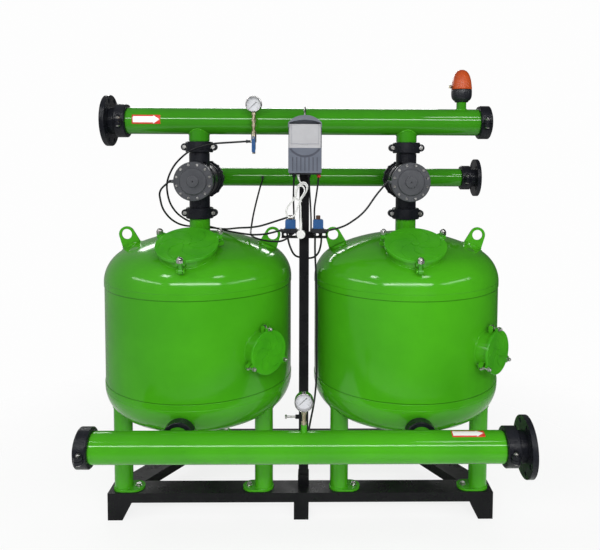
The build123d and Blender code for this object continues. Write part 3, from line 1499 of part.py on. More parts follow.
panel_top = hood_side + 12
with BuildPart() as control_panel:
    with BuildSketch(front_plane(box_mid)):
        with Locations((box_x, (panel_low + panel_top) / 2)):
            Rectangle(2 * (box_half - hood_wall - slip), panel_top - panel_low)
    extrude(amount=box_mid - box_front)
    with BuildSketch(front_plane(box_front)):
        with Locations((box_x, (door_low + panel_top) / 2 + 1)):
            Rectangle(2 * (door_half + door_gap), panel_top - door_low + 2 * door_gap + 2)
        with Locations((box_x, door_low)):
            Rectangle(tab_length + 4, 2 * tab_half + 2)
    extrude(amount=-door_recess, mode=Mode.SUBTRACT)
    add(rod((box_x - door_half - door_gap - 1, door_pin_y, hinge_z), (box_x + door_half + door_gap + 1, door_pin_y,
            hinge_z), hinge_r))
write(control_panel.part, "control_panel")

with BuildPart() as window_door:
    with BuildSketch(front_plane(door_pin_y + door_thick / 2)):
        with Locations((box_x, (door_low + hinge_z) / 2)):
            Rectangle(2 * door_half, hinge_z - door_low)
    extrude(amount=door_thick)
    fillet(window_door.edges().filter_by(Axis.Y).sort_by(Axis.Z)[:2], radius=5)
    with BuildSketch(front_plane(door_pin_y - door_thick / 2)):
        with Locations((box_x, door_low)):
            SlotOverall(tab_length, 2 * tab_half)
    extrude(amount=2)
    add(rod((box_x - door_half, door_pin_y, hinge_z), (box_x + door_half, door_pin_y, hinge_z), door_barrel_r))
    add(rod((box_x - door_half - 1, door_pin_y, hinge_z), (box_x + door_half + 1, door_pin_y, hinge_z),
            hinge_r + hinge_clear), mode=Mode.SUBTRACT)
write(window_door.part, "window_door")

with BuildPart() as terminal_cover:
    with BuildSketch(front_plane(box_mid)):
        with Locations((box_x, (box_low + panel_low) / 2)):
            Rectangle(2 * box_half - 1, panel_low - box_low)
    extrude(amount=box_mid - box_front)
    fillet(terminal_cover.edges().filter_by(Axis.Y).sort_by(Axis.Z)[:2], radius=4)
    with BuildSketch(front_plane(box_mid)):
        with Locations((box_x, (box_low + panel_low) / 2)):
            Rectangle(2 * box_half - 1 - 2 * box_wall, panel_low - box_low - 2 * box_wall)
    extrude(amount=box_mid - box_front - box_wall, mode=Mode.SUBTRACT)
    rib_pitch = (2 * box_half - 20) / cover_rib_count
    with BuildSketch(front_plane(box_front)):
        for k in range(cover_rib_count):
            with Locations((box_x + (k - (cover_rib_count - 1) / 2) * rib_pitch, box_low + 35)):
                Rectangle(cover_groove, 56)
    extrude(amount=-cover_groove_depth, mode=Mode.SUBTRACT)
    with BuildSketch(front_plane(box_front)):
        with BuildLine():
            CenterArc((box_x, panel_low + 36), 70, 214, 112)
        trace(line_width=8)
    extrude(amount=-cover_groove_depth, mode=Mode.SUBTRACT)
write(terminal_cover.part, "terminal_cover")


# solenoid pilots
bases, coils = [], []
for x in solenoid_xs:
    with BuildPart() as base:
        with BuildSketch(Plane((x, solenoid_y, rail_high))):
            Rectangle(2 * solenoid_base_half[0], 2 * solenoid_base_half[1])
        extrude(amount=solenoid_base_top - rail_high)
        add(rod((x - solenoid_base_half[0] - 8, solenoid_y, solenoid_port_z),
                (x + solenoid_base_half[0] + 8, solenoid_y, solenoid_port_z), 6))
        add(rod((x, solenoid_y, solenoid_base_top), (x, solenoid_y, solenoid_coil_top + 1), 5))
    with BuildPart() as coil:
        with BuildSketch(Plane((x, solenoid_y, solenoid_base_top))):
            Rectangle(2 * solenoid_coil_half[0], 2 * solenoid_coil_half[1])
        extrude(amount=solenoid_coil_top - solenoid_base_top)
        fillet(coil.edges().filter_by(Axis.Y).sort_by(Axis.Z)[-2:], radius=7)
        with BuildSketch(Plane((x, solenoid_y, solenoid_coil_top))):
            Circle(solenoid_cap_r)
        extrude(amount=solenoid_cap_top - solenoid_coil_top)
        fillet(coil.faces().sort_by(Axis.Z)[-1].edges(), radius=2)
        with BuildSketch(Plane((x, solenoid_y, solenoid_base_top))):
            Circle(5 + stem_clear)
        extrude(amount=solenoid_coil_top + 1.1 - solenoid_base_top, mode=Mode.SUBTRACT)
    bases.append(base.part)
    coils.append(coil.part)
group(bases, "solenoid_bases")
group(coils, "solenoid_coils")


# control tubes and cables, from fitting to fitting
routes = {
    "gauge_line": (
        (-238, -98, 1574), (-303, -93.5, 1569.5), (-388, -88.5, 1564.5), (-480, -86, 1536.5),
        (-547, -86, 1472.5), (-579.5, -86, 1398), (-575, -58.5, 1315), (-554, 5.5, 1255.5),
        (-507.5, 58.5, 1213), (-416, 63.5, 1193), (-349, 18.5, 1182.5), (-280.5, -38, 1178),
        (-210.5, -96.5, 1177), (-146.5, -157.5, 1189.5), (-88, -197, 1210),
    ),
    "left_valve_line": (
        (-552, -143, 1406.5), (-598, -137, 1366.5), (-595.5, -93.5, 1289.5), (-574.5, -40.5, 1239.5),
        (-543, 28, 1203.5), (-482.5, 82, 1189.5), (-407.5, 86.5, 1185), (-346.5, 51.5, 1183),
        (-281.5, -8.5, 1197), (-230.5, -65.5, 1205), (-179, -121.5, 1217.5), (-115.5, -176.5, 1243),
        (-58, -197, 1264),
    ),
    "drain_line": (
        (-203, 306, 1395), (-208, 250.5, 1371), (-225.5, 217.5, 1295), (-238, 188.5, 1232),
        (-241, 125, 1180), (-236, 50, 1166), (-226, -21, 1165), (-197.5, -98.5, 1162.5),
        (-139, -163, 1159.5), (-77, -202.5, 1165), (-32, -212, 1202),
    ),
    "right_line": (
        (354, -143, 1406.5), (310.5, -144, 1356.5), (255, -157.5, 1276), (174.5, -182, 1224.5),
        (108, -197, 1210),
    ),
    "link_line": (
        (-62, -194, 1202), (-54, -191.5, 1154.5), (-38, -158, 1107.5), (-20, -108, 1084),
        (43, -112, 1079.5), (69, -150.5, 1108), (79, -186, 1154), (80, -194, 1202),
    ),
    "sensing_line": (
        (54, -205, 1202), (53, -196.5, 1126), (59, -186.5, 1011.5), (61.5, -184, 908.5),
        (62, -184, 803), (61.5, -184, 706), (62.5, -185.5, 595), (54, -205, 497.5),
        (34.5, -293.5, 437.5), (30, -393, 444.5), (30, -476, 467),
    ),
    "left_cable": (
        (-33, -190, 1442), (-34.5, -187, 1400), (-36, -181.5, 1345), (-34.5, -182, 1295.5),
        (-33, -188, 1256),
    ),
    "right_cable": (
        (68, -190, 1442), (64.5, -190, 1400.5), (57.5, -190, 1348.5), (50, -190, 1299), (51, -193, 1256),
    ),
    "middle_cable": (
        (27, -182, 1442), (28.5, -181, 1406), (31.5, -181, 1353.5), (34.5, -183, 1309),
        (37, -191, 1255.5), (37, -197, 1216),
    ),
}
radii = {"left_cable": cable_r, "right_cable": cable_r, "middle_cable": cable_r}


def line(name, points, radius):
    """Round line along its points, each corner as wide an arc as its two runs allow."""
    places = [Vector(*point) for point in points]
    runs = [b - a for a, b in zip(places, places[1:])]
    bends = []
    for before, after in zip(runs, runs[1:]):
        turn = math.radians(before.get_angle(after))
        bends.append(0.45 * min(before.length, after.length) / math.tan(turn / 2))
    print(name, "smallest bend", round(min(bends)), "length", round(sum(run.length for run in runs)))
    with BuildPart() as hose:
        with BuildLine() as path:
            FilletPolyline(*places, radius=bends)
        with BuildSketch(Plane(origin=places[0], z_dir=runs[0])):
            Circle(radius)
        sweep(path=path.wires()[0])
    return hose.part


hoses, cables = [], []
for name, points in routes.items():
    made = line(name, points, radii.get(name, tube_r))
    (cables if name in radii else hoses).append(made)
group(hoses, "command_tubes")
group(cables, "controller_cables")


def end_fitting(start, tip, radius):
    """Push-in fitting with a wider collar at its mouth."""
    axis = (Vector(*tip) - Vector(*start)).normalized()
    mouth = Vector(*tip) - axis * 5
    with BuildPart() as fitting:
        add(rod(start, tip, radius - 1.5))
        add(rod(tuple(mouth), tip, radius))
    return fitting.part


port_reach = solenoid_base_half[0] + 8
pilot_tip = -cover_r - pilot_reach
pilot_y = cover_face_y + cover_flange / 2
left_pilot, right_pilot = solenoid_xs
fittings = [
    end_fitting((chain_x - 14, chain_y, line_branch_z), (-238, chain_y, line_branch_z), fitting_r),
    end_fitting((tank_xs["left"] + pilot_tip, pilot_y, valve_z), (-552, pilot_y, valve_z), fitting_r),
    end_fitting((tank_xs["right"] + pilot_tip, pilot_y, valve_z), (354, pilot_y, valve_z), fitting_r),
    end_fitting((-203, drain_y - branch_r - 0.3, valve_z), (-203, 306, valve_z), fitting_r),
    end_fitting((left_pilot - port_reach, solenoid_y, solenoid_port_z), (-88, solenoid_y, solenoid_port_z), fitting_r),
    end_fitting((right_pilot + port_reach, solenoid_y, solenoid_port_z), (108, solenoid_y, solenoid_port_z),
                fitting_r),
    end_fitting((30, outlet_y + main_r + 0.3, outlet_z), (30, -476, outlet_z), fitting_r),
]
for x, y in gland_spots:
    if x != cord_gland_x:
        with BuildPart() as gland:
            with BuildSketch(Plane((x, y, box_low - ledge_drop))):
                RegularPolygon(gland_r, 6, major_radius=False)
                Circle(cable_r + 0.4, mode=Mode.SUBTRACT)
            extrude(amount=-gland_length)
        fittings.append(gland.part)
group(fittings, "line_fittings")

# white supply cord: lead, tied hank, tail and plug
write(line("lead", cord_lead, cord_r), "power_cord_lead")
write(line("tail", cord_tail, cord_r), "power_cord_tail")
with BuildPart() as hank:
    with BuildSketch(front_plane(hank_back)):
        with BuildLine():
            Polyline(*hank_outline, close=True)
        make_face()
    extrude(amount=hank_thick)
    chamfer(hank.faces().sort_by(Axis.Y)[0].edges(), length=4)
write(hank.part, "power_cord_hank")

with BuildPart() as power_plug:
    with BuildSketch(front_plane(plug_back)):
        with Locations((plug_x, plug_z)):
            Circle(plug_r)
    extrude(amount=plug_thick)
    fillet(power_plug.edges().filter_by(GeomType.CIRCLE), radius=plug_edge)
    add(rod((cord_tail[-1][0], cord_tail[-1][1], plug_z), cord_tail[-1], plug_neck_r))
    for side in (-1, 1):
        x = plug_x + side * plug_pin_pitch / 2
        add(rod((x, plug_back - 1, plug_z), (x, plug_back + plug_pin_length, plug_z), plug_pin_r))
write(power_plug.part, "power_plug")
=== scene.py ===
import math

import bpy
import numpy as np
from mathutils import Matrix, Vector


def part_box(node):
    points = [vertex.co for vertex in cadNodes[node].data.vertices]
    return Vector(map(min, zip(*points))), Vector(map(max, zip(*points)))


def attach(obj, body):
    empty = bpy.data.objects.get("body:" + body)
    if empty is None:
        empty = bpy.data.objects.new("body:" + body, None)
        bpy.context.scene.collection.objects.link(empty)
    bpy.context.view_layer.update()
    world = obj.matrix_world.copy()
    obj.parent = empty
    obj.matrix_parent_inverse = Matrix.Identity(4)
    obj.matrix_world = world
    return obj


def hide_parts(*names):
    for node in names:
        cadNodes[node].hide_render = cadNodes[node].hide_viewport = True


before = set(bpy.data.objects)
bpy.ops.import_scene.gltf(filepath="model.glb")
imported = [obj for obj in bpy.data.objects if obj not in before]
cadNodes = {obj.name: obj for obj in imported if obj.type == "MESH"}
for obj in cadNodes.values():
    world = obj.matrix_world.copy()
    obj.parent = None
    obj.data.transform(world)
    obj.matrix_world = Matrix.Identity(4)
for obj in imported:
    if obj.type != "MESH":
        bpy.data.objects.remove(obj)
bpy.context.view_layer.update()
scene = bpy.context.scene
scene.view_settings.view_transform = "Standard"
tau = 2 * math.pi

# millimetres that bring the drawing's origin to the middle of the base
drawingShift = np.array([-6.0, 95.5, 0.0])


def row(points):
    # drawing millimetres to metres in the shared frame
    return (np.asarray(points, float) + drawingShift) / 1000


# camera, background and lamps

photoCamera = {"place": (0.04595, -2.62426, 1.5286), "turnRight": 0.0155, "lookDown": 0.0578, "roll": 0.0047,
               "lens": 37.16, "shift": (-0.0407, -0.1443)}


def setCamera(facts):
    lens = bpy.data.cameras.new("photoCamera")
    lens.lens = facts["lens"]
    lens.sensor_width = 36
    lens.shift_x, lens.shift_y = facts["shift"]
    lens.clip_end = 60
    camera = bpy.data.objects.new("photoCamera", lens)
    scene.collection.objects.link(camera)
    camera.matrix_world = (Matrix.Translation(facts["place"])
                           @ Matrix.Rotation(-facts["turnRight"], 4, "Z")
                           @ Matrix.Rotation(math.pi / 2 - facts["lookDown"], 4, "X")
                           @ Matrix.Rotation(facts["roll"], 4, "Z"))
    scene.camera = camera


class Link:
    # a node's output that can be written in sums: every operator adds its Math node
    def __init__(self, paint, socket):
        self.paint = paint
        self.socket = socket

    def math(self, operation, first, second):
        return self.paint.node("Math", {"operation": operation}, {0: first, 1: second})

    def __add__(self, other):
        return self.math("ADD", self, other)

    def __radd__(self, other):
        return self.math("ADD", other, self)

    def __sub__(self, other):
        return self.math("SUBTRACT", self, other)

    def __rsub__(self, other):
        return self.math("SUBTRACT", other, self)

    def __mul__(self, other):
        return self.math("MULTIPLY", self, other)

    def __rmul__(self, other):
        return self.math("MULTIPLY", other, self)

    def __truediv__(self, other):
        return self.math("DIVIDE", self, other)

    def __abs__(self):
        return self.math("ABSOLUTE", self, 0)

    def above(self, level):
        return self.math("GREATER_THAN", self, level)

    def below(self, level):
        return self.math("LESS_THAN", self, level)

    def clip(self):
        return self.paint.node("Clamp", {}, {"Value": self})


class Paint:
    # one material, or the world, built node by node
    def __init__(self, owner):
        self.owner = owner
        owner.use_nodes = True
        self.tree = owner.node_tree
        self.tree.nodes.clear()

    def node(self, kind, settings=None, sockets=None, output=0):
        made = self.tree.nodes.new("ShaderNode" + kind)
        for key, value in (settings or {}).items():
            if key == "stops":
                ramp = made.color_ramp
                for stop, (at, colour) in enumerate(value):
                    element = ramp.elements[stop] if stop < 2 else ramp.elements.new(at)
                    element.position = at
                    element.color = (*colour, 1)
            else:
                setattr(made, key, value)
        for key, value in (sockets or {}).items():
            if isinstance(value, Link):
                self.tree.links.new(value.socket, made.inputs[key])
            else:
                made.inputs[key].default_value = value
        return None if output is None else Link(self, made.outputs[output])

    def blend(self, amount, first, second):
        # colours mixed by an amount from 0 to 1
        colours = [value if isinstance(value, Link) else (*value, 1) for value in (first, second)]
        return self.node("Mix", {"data_type": "RGBA"}, {0: amount, 6: colours[0], 7: colours[1]}, 2)

    def noise(self, place, scale, detail=3.0, roughness=0.5, stretch=None):
        if stretch:
            place = self.node("Mapping", {}, {"Vector": place, "Scale": stretch})
        return self.node("TexNoise", {}, {"Vector": place, "Scale": scale, "Detail": detail,
                                                     "Roughness": roughness})

    def ramp(self, value, low, high):
        # 0 below low, 1 above high, straight between
        return self.node("MapRange", {"clamp": True},
                         {"Value": value, "From Min": low, "From Max": high, "To Min": 0.0, "To Max": 1.0})


def backgroundShare(paint):
    # 1 for the rays that should see the plain white background
    kinds = ("Is Camera Ray", "Is Transmission Ray")
    shares = [paint.node("LightPath", output=name) for name in kinds]
    return (shares[0] + shares[1]).clip()


studio = {
    "ambient": 0.33, "glossAmbient": (0.04, 0.42), "glossTurn": (-0.5, 0.9), "white": (0.985, 0.985, 0.985),
    "floorSize": 5.0, "floorClear": 2.2, "floorFull": 1.35, "floorWhite": 0.85,
    "floorTint": (0.93, 0.93, 0.93),
    "unseenLamps": ("lowLamp",),
    "lamps": (
        ("stripLamp", (0.0, -4.5, 3.26), (0.0, 0.0, 1.1), (5.2, 0.5), 150),
        ("stripLampLeft", (-4.7, -2.6, 3.26), (-0.4, 0.0, 1.1), (4.0, 0.22), 42),
        ("stripLampRight", (4.7, -2.6, 3.26), (0.4, 0.0, 1.1), (4.0, 0.22), 34),
        ("patchLampLeft", (-2.3, -2.1, 3.9), (-0.3, 0.0, 1.0), (0.55, 0.45), 16),
        ("patchLampRight", (1.5, -2.6, 4.2), (0.3, 0.0, 1.0), (0.7, 0.35), 12),
        ("lowLamp", (1.1, -4.5, 0.9), (0.1, 0.0, 0.7), (3.0, 1.4), 78),
        ("backLamp", (-0.6, 3.6, 3.0), (0.0, 0.2, 1.0), (4.0, 0.4), 60),
    ),
}


def lightStudio(facts):
    world = bpy.data.worlds.new("studio")
    scene.world = world
    paint = Paint(world)
    away = paint.node("TexCoord", output="Generated")
    leftward = paint.ramp(-1 * paint.node("SeparateXYZ", {}, {0: away}, 0), *facts["glossTurn"])
    dark, pale = facts["glossAmbient"]
    glossy = paint.node("LightPath", output="Is Glossy Ray")
    level = glossy * (dark + leftward * (pale - dark)) + (1 - glossy) * facts["ambient"]
    soft = paint.node("Background", {}, {"Color": (1, 1, 1, 1), "Strength": level})
    plain = paint.node("Background", {}, {"Color": (*facts["white"], 1), "Strength": 1.0})
    both = paint.node("MixShader", {}, {0: backgroundShare(paint), 1: soft, 2: plain})
    paint.node("OutputWorld", {}, {"Surface": both}, None)
    for name, place, target, size, power in facts["lamps"]:
        lamp = bpy.data.lights.new(name, "AREA")
        lamp.shape = "RECTANGLE"
        lamp.size, lamp.size_y = size
        lamp.energy = power
        holder = bpy.data.objects.new(name, lamp)
        scene.collection.objects.link(holder)
        holder.location = place
        holder.visible_glossy = name not in facts["unseenLamps"]
        holder.rotation_euler = (Vector(target) - Vector(place)).to_track_quat("-Z", "Y").to_euler()


def layFloor(facts):
    # a pale sheet that fades into the background away from the object, and keeps its shadow
    half = facts["floorSize"]
    mesh = bpy.data.meshes.new("floor")
    corners = [(-half, -half, 0), (half, -half, 0), (half, half, 0), (-half, half, 0)]
    mesh.from_pydata(corners, [], [(0, 1, 2, 3)])
    floor = bpy.data.objects.new("floor", mesh)
    scene.collection.objects.link(floor)
    paint = Paint(bpy.data.materials.new("paleFloor"))
    place = paint.node("TexCoord", output="Object")
    away = paint.node("VectorMath", {"operation": "LENGTH"}, {0: place}, "Value")
    cloth = paint.node("BsdfDiffuse", {}, {"Color": (*facts["floorTint"], 1)})
    glow = paint.node("Emission", {}, {"Color": (*facts["white"], 1), "Strength": 1.0})
    seen = backgroundShare(paint)
    sheet = paint.node("MixShader", {}, {0: seen * facts["floorWhite"], 1: cloth, 2: glow})
    clear = paint.node("BsdfTransparent")
    fade = paint.ramp(away, facts["floorFull"], facts["floorClear"])
    surface = paint.node("MixShader", {}, {0: fade, 1: sheet, 2: clear})
    paint.node("OutputMaterial", {}, {"Surface": surface}, None)
    floor.data.materials.append(paint.owner)


setCamera(photoCamera)
lightStudio(studio)
layFloor(studio)
print("camera, lamps and floor are set")

# finishes

# gloss is the roughness from and to, grainDepth is in metres, grain and cloud are noise scales
finishes = {
    "greenEnamel": {
        "tint": (0.053, 0.320, 0.008), "shade": (0.041, 0.265, 0.007), "dust": (0.12, 0.34, 0.07),
        "dustShare": 0.03, "gloss": (0.09, 0.15), "shine": 0.30, "grain": 260, "grainDepth": 0.00003,
        "cloud": 3.0},
    "pipeEnamel": {
        "tint": (0.034, 0.225, 0.007), "shade": (0.027, 0.19, 0.006), "dust": (0.10, 0.28, 0.06),
        "dustShare": 0.03, "gloss": (0.07, 0.11), "shine": 0.34, "grain": 260, "grainDepth": 0.00002,
        "cloud": 4.0},
    "castGreen": {
        "tint": (0.050, 0.325, 0.009), "shade": (0.036, 0.26, 0.008), "dust": (0.11, 0.32, 0.06),
        "dustShare": 0.04, "gloss": (0.10, 0.19), "shine": 0.32, "grain": 330, "grainDepth": 0.0004,
        "cloud": 9.0},
    "framePaint": {
        "tint": (0.004, 0.004, 0.005), "shade": (0.007, 0.007, 0.008), "dust": (0.030, 0.030, 0.031),
        "dustShare": 0.30, "gloss": (0.24, 0.42), "shine": 0.16, "grain": 420, "grainDepth": 0.0003,
        "cloud": 7.0},
    "castBlack": {
        "tint": (0.005, 0.0055, 0.008), "shade": (0.011, 0.012, 0.016), "dust": (0.04, 0.04, 0.05),
        "dustShare": 0.10, "gloss": (0.22, 0.38), "shine": 0.20, "grain": 520, "grainDepth": 0.0006,
        "cloud": 11.0},
    "bonnetPlastic": {
        "tint": (0.040, 0.042, 0.048), "shade": (0.058, 0.060, 0.068), "dust": (0.10, 0.10, 0.11),
        "dustShare": 0.10, "gloss": (0.30, 0.44), "shine": 0.36, "grain": 700, "grainDepth": 0.0003,
        "cloud": 12.0},
    "blackPlastic": {
        "tint": (0.008, 0.009, 0.012), "shade": (0.015, 0.016, 0.020), "dust": (0.05, 0.05, 0.055),
        "dustShare": 0.10, "gloss": (0.26, 0.42), "shine": 0.34, "grain": 900, "grainDepth": 0.0002,
        "cloud": 16.0},
    "hoodPlastic": {
        "tint": (0.105, 0.116, 0.142), "shade": (0.118, 0.130, 0.156), "dust": (0.18, 0.19, 0.21),
        "dustShare": 0.06, "gloss": (0.34, 0.48), "shine": 0.36, "grain": 1100, "grainDepth": 0.0003,
        "cloud": 14.0},
    "doorPlastic": {
        "tint": (0.37, 0.37, 0.385), "shade": (0.34, 0.34, 0.355), "dust": (0.40, 0.39, 0.38),
        "dustShare": 0.08, "gloss": (0.30, 0.44), "shine": 0.40, "grain": 1100, "grainDepth": 0.0002,
        "cloud": 18.0},
    "rubber": {
        "tint": (0.008, 0.008, 0.008), "shade": (0.016, 0.016, 0.016), "dust": (0.05, 0.05, 0.048),
        "dustShare": 0.15, "gloss": (0.62, 0.80), "shine": 0.25, "grain": 800, "grainDepth": 0.0003,
        "cloud": 18.0},
    "zincSteel": {
        "tint": (0.60, 0.60, 0.60), "shade": (0.42, 0.41, 0.38), "dust": (0.34, 0.31, 0.26),
        "dustShare": 0.08, "metal": 1.0, "gloss": (0.22, 0.42), "shine": 0.5, "grain": 600,
        "grainDepth": 0.0004, "cloud": 40.0},
    "brightSteel": {
        "tint": (0.50, 0.49, 0.49), "shade": (0.36, 0.35, 0.35), "dust": (0.4, 0.4, 0.4), "dustShare": 0.03,
        "metal": 1.0, "gloss": (0.14, 0.26), "shine": 0.5, "grain": 900, "grainDepth": 0.0001, "cloud": 30.0},
    "agedBrass": {
        "tint": (0.56, 0.50, 0.38), "shade": (0.36, 0.30, 0.20), "dust": (0.30, 0.26, 0.18),
        "dustShare": 0.05, "metal": 0.85, "gloss": (0.24, 0.40), "shine": 0.5, "grain": 700,
        "grainDepth": 0.0003, "cloud": 45.0},
    "orangePlastic": {
        "tint": (0.42, 0.060, 0.008), "shade": (0.36, 0.050, 0.008), "dust": (0.50, 0.15, 0.05),
        "dustShare": 0.06, "gloss": (0.34, 0.48), "shine": 0.34, "grain": 700, "grainDepth": 0.0003,
        "cloud": 16.0},
    "bluePlastic": {
        "tint": (0.010, 0.058, 0.175), "shade": (0.014, 0.070, 0.20), "dust": (0.12, 0.20, 0.34),
        "dustShare": 0.05, "gloss": (0.28, 0.42), "shine": 0.36, "grain": 900, "grainDepth": 0.0002,
        "cloud": 24.0},
    "whitePlastic": {
        "tint": (0.64, 0.64, 0.63), "shade": (0.57, 0.57, 0.555), "dust": (0.50, 0.48, 0.45),
        "dustShare": 0.08, "gloss": (0.32, 0.46), "shine": 0.40, "grain": 900, "grainDepth": 0.0001,
        "cloud": 30.0},
    "blackTube": {
        "tint": (0.006, 0.006, 0.008), "shade": (0.012, 0.012, 0.014), "dust": (0.03, 0.03, 0.03),
        "dustShare": 0.06, "gloss": (0.30, 0.44), "shine": 0.28, "grain": 500, "grainDepth": 0.0001,
        "cloud": 12.0},
    "paleDial": {
        "tint": (0.66, 0.66, 0.69), "shade": (0.60, 0.60, 0.64), "dust": (0.6, 0.6, 0.6), "dustShare": 0.0,
        "gloss": (0.40, 0.50), "shine": 0.3, "grain": 1500, "grainDepth": 0.00005, "cloud": 60.0},
    "inkBlack": {
        "tint": (0.012, 0.012, 0.014), "shade": (0.02, 0.02, 0.022), "dust": (0.03, 0.03, 0.03),
        "dustShare": 0.0, "gloss": (0.40, 0.55), "shine": 0.3, "grain": 900, "grainDepth": 0.00005,
        "cloud": 60.0},
}

# each noise: its scale beside the finish's clouds, its detail and roughness, and the levels it rises between
patterns = {"gloss": (2.3, 4.0, 0.5, 0.35, 0.65), "drift": (1.0, 5.0, 0.55, 0.36, 0.66),
            "fleck": (14, 3.0, 0.5, 0.60, 0.74), "patch": (3.1, 6.0, 0.6, 0.38, 0.72)}
mottling = {"fleckShare": 0.25, "level": (0.55, 0.98), "evenDust": 0.35, "patchDust": 0.65, "patchShare": 0.2}
grainRelief = {"strength": 0.6, "detail": 2.0, "coatRoughness": 0.08}


def startPaint(name):
    # a new material, the place on its object, and how far each face looks up
    paint = Paint(bpy.data.materials.new(name))
    place = paint.node("TexCoord", output="Object")
    normal = paint.node("NewGeometry", output="Normal")
    return paint, place, coordinate(paint, normal, 2)


def coordinate(paint, value, axis):
    # one of the three numbers of a place or a direction
    return paint.node("SeparateXYZ", {}, {0: value}, axis)


def pattern(paint, facts, place, name):
    scale, detail, roughness, low, high = patterns[name]
    return paint.ramp(paint.noise(place, facts["cloud"] * scale, detail, roughness), low, high)


def closePaint(paint, colour, facts, place, extra=None):
    # roughness drifts with a slow noise, and a fine grain gives the bump
    low, high = facts["gloss"]
    rough = low + pattern(paint, facts, place, "gloss") * (high - low)
    grain = paint.noise(place, facts["grain"], grainRelief["detail"])
    bump = paint.node("Bump", {}, {"Height": grain, "Distance": facts["grainDepth"],
                                             "Strength": grainRelief["strength"]})
    sockets = {"Base Color": colour, "Roughness": rough, "Metallic": facts.get("metal", 0.0), "Normal": bump,
               "Coat Weight": facts.get("coat", 0.0), "Coat Roughness": grainRelief["coatRoughness"],
               "Specular IOR Level": facts["shine"]}
    sockets.update(extra or {})
    surface = paint.node("BsdfPrincipled", {}, sockets)
    paint.node("OutputMaterial", {}, {"Surface": surface}, None)
    return paint.owner


def mottle(paint, facts, place, upward):
    # two tints drift into each other, specks break them up, and dust lies on the upper faces
    colour = paint.blend(pattern(paint, facts, place, "drift"), facts["tint"], facts["shade"])
    fleck = pattern(paint, facts, place, "fleck")
    colour = paint.blend(fleck * mottling["fleckShare"], colour, facts["shade"])
    patch = pattern(paint, facts, place, "patch")
    lying = paint.ramp(upward, *mottling["level"]) * facts["dustShare"]
    lying = lying * (mottling["evenDust"] + mottling["patchDust"] * patch)
    dust = (lying + patch * facts["dustShare"] * mottling["patchShare"]).clip()
    return paint.blend(dust, colour, facts["dust"])


def plainFinish(name, facts):
    paint, place, upward = startPaint(name)
    return closePaint(paint, mottle(paint, facts, place, upward), facts, place)


def boxMask(paint, place, low, high):
    # 1 inside a box given in drawing millimetres
    corners = row([low, high])
    inside = None
    for axis in range(3):
        along = coordinate(paint, place, axis)
        one = along.above(float(corners[0][axis])) * along.below(float(corners[1][axis]))
        inside = one if inside is None else inside * one
    return inside


def twoToneFinish(facts):
    # one moulding's colour, with another inside the given boxes
    base = finishes[facts["base"]]
    outside = dict(base, **facts.get("outside", {}))
    paint, place, upward = startPaint(facts["material"])
    mask = None
    for low, high in facts["boxes"]:
        one = boxMask(paint, place, low, high)
        mask = one if mask is None else (mask + one).clip()
    first = mottle(paint, outside, place, upward)
    second = mottle(paint, dict(base, **facts["inside"]), place, upward)
    return closePaint(paint, paint.blend(mask, first, second), outside, place)


sand = {"cloud": 20.0, "gloss": (0.7, 0.9), "grain": 900, "grainDepth": 0.002, "shine": 0.3, "cells": 620.0,
        "tans": ((0.42, 0.30, 0.17), (0.66, 0.55, 0.38))}


def sandFinish():
    # grains are small cells, each of its own tan
    paint, place, _ = startPaint("sandGrains")
    cell = paint.node("TexVoronoi", {}, {"Vector": place, "Scale": sand["cells"]}, "Color")
    share = paint.node("SeparateColor", {}, {0: cell}, 0)
    return closePaint(paint, paint.blend(share, *sand["tans"]), sand, place)


glass = {"tint": (0.9, 0.95, 0.95, 1), "smear": (60.0, 4.0), "rise": (0.4, 0.7), "rough": (0.03, 0.05),
         "alpha": (0.06, 0.03)}


def glassFinish():
    # a clear flat lens: thin glass that lets the dial through, with a faint smear
    paint, place, _ = startPaint("gaugeGlass")
    smear = paint.ramp(paint.noise(place, *glass["smear"]), *glass["rise"])
    (rough, roughSmear), (alpha, alphaSmear) = glass["rough"], glass["alpha"]
    sockets = {"Base Color": glass["tint"], "Roughness": rough + smear * roughSmear,
               "Alpha": alpha + smear * alphaSmear}
    surface = paint.node("BsdfPrincipled", {}, sockets)
    paint.node("OutputMaterial", {}, {"Surface": surface}, None)
    return paint.owner


# painted shade: dark lines on the shell just under the upper girth seam and just over the lower one, standing
# in for the shade in the crease at each head's lip step and bead; heights in metres, depth is how dark the
# line is
seamShade = {"heights": (0.9628, 0.5642), "half": 0.0011, "soft": 0.0008, "depth": 0.55,
             "tint": (0.004, 0.022, 0.001)}
# the neck under each top hatch, in drawing millimetres, apart from bareFrom, which is in metres
hatchNeck = {"tilt": math.radians(23.7), "y": -280.0, "z": 1168.5, "radius": 109.5, "bead": 3.4,
             "reach": 190.0, "halvings": 40, "bareFrom": 0.004}


def tankFinish():
    # the shell's enamel, with a line of painted shade beside each girth seam, where the head's lip step
    # shades the shell
    facts = finishes["greenEnamel"]
    paint, place, upward = startPaint("tankEnamel")
    height = coordinate(paint, place, 2)
    colour = mottle(paint, facts, place, upward)
    for level in seamShade["heights"]:
        off = abs(height - level)
        # painted shade: the lip step's shade line, darkest at the seam height and fading over the soft band
        shadeLine = 1 - paint.ramp(off, seamShade["half"], seamShade["half"] + seamShade["soft"])
        colour = paint.blend(shadeLine * seamShade["depth"], colour, seamShade["tint"])
    return closePaint(paint, colour, facts, place)


def eyeBoltFinish():
    # bare nut and thread above the lid's ears, painted eye and shank below, parted along the hatch's tilt
    facts = finishes["zincSteel"]
    paint, place, upward = startPaint("eyeBoltMix")
    across, height = coordinate(paint, place, 1), coordinate(paint, place, 2)
    seat = row([(0, hatchNeck["y"], hatchNeck["z"])])[0]
    lean = hatchNeck["tilt"]
    over = (height - float(seat[2])) * math.cos(lean) - (across - float(seat[1])) * math.sin(lean)
    bare = over.above(hatchNeck["bareFrom"])
    colour = paint.blend(bare, finishes["castGreen"]["shade"], mottle(paint, facts, place, upward))
    return closePaint(paint, colour, facts, place, extra={"Metallic": bare * facts["metal"]})


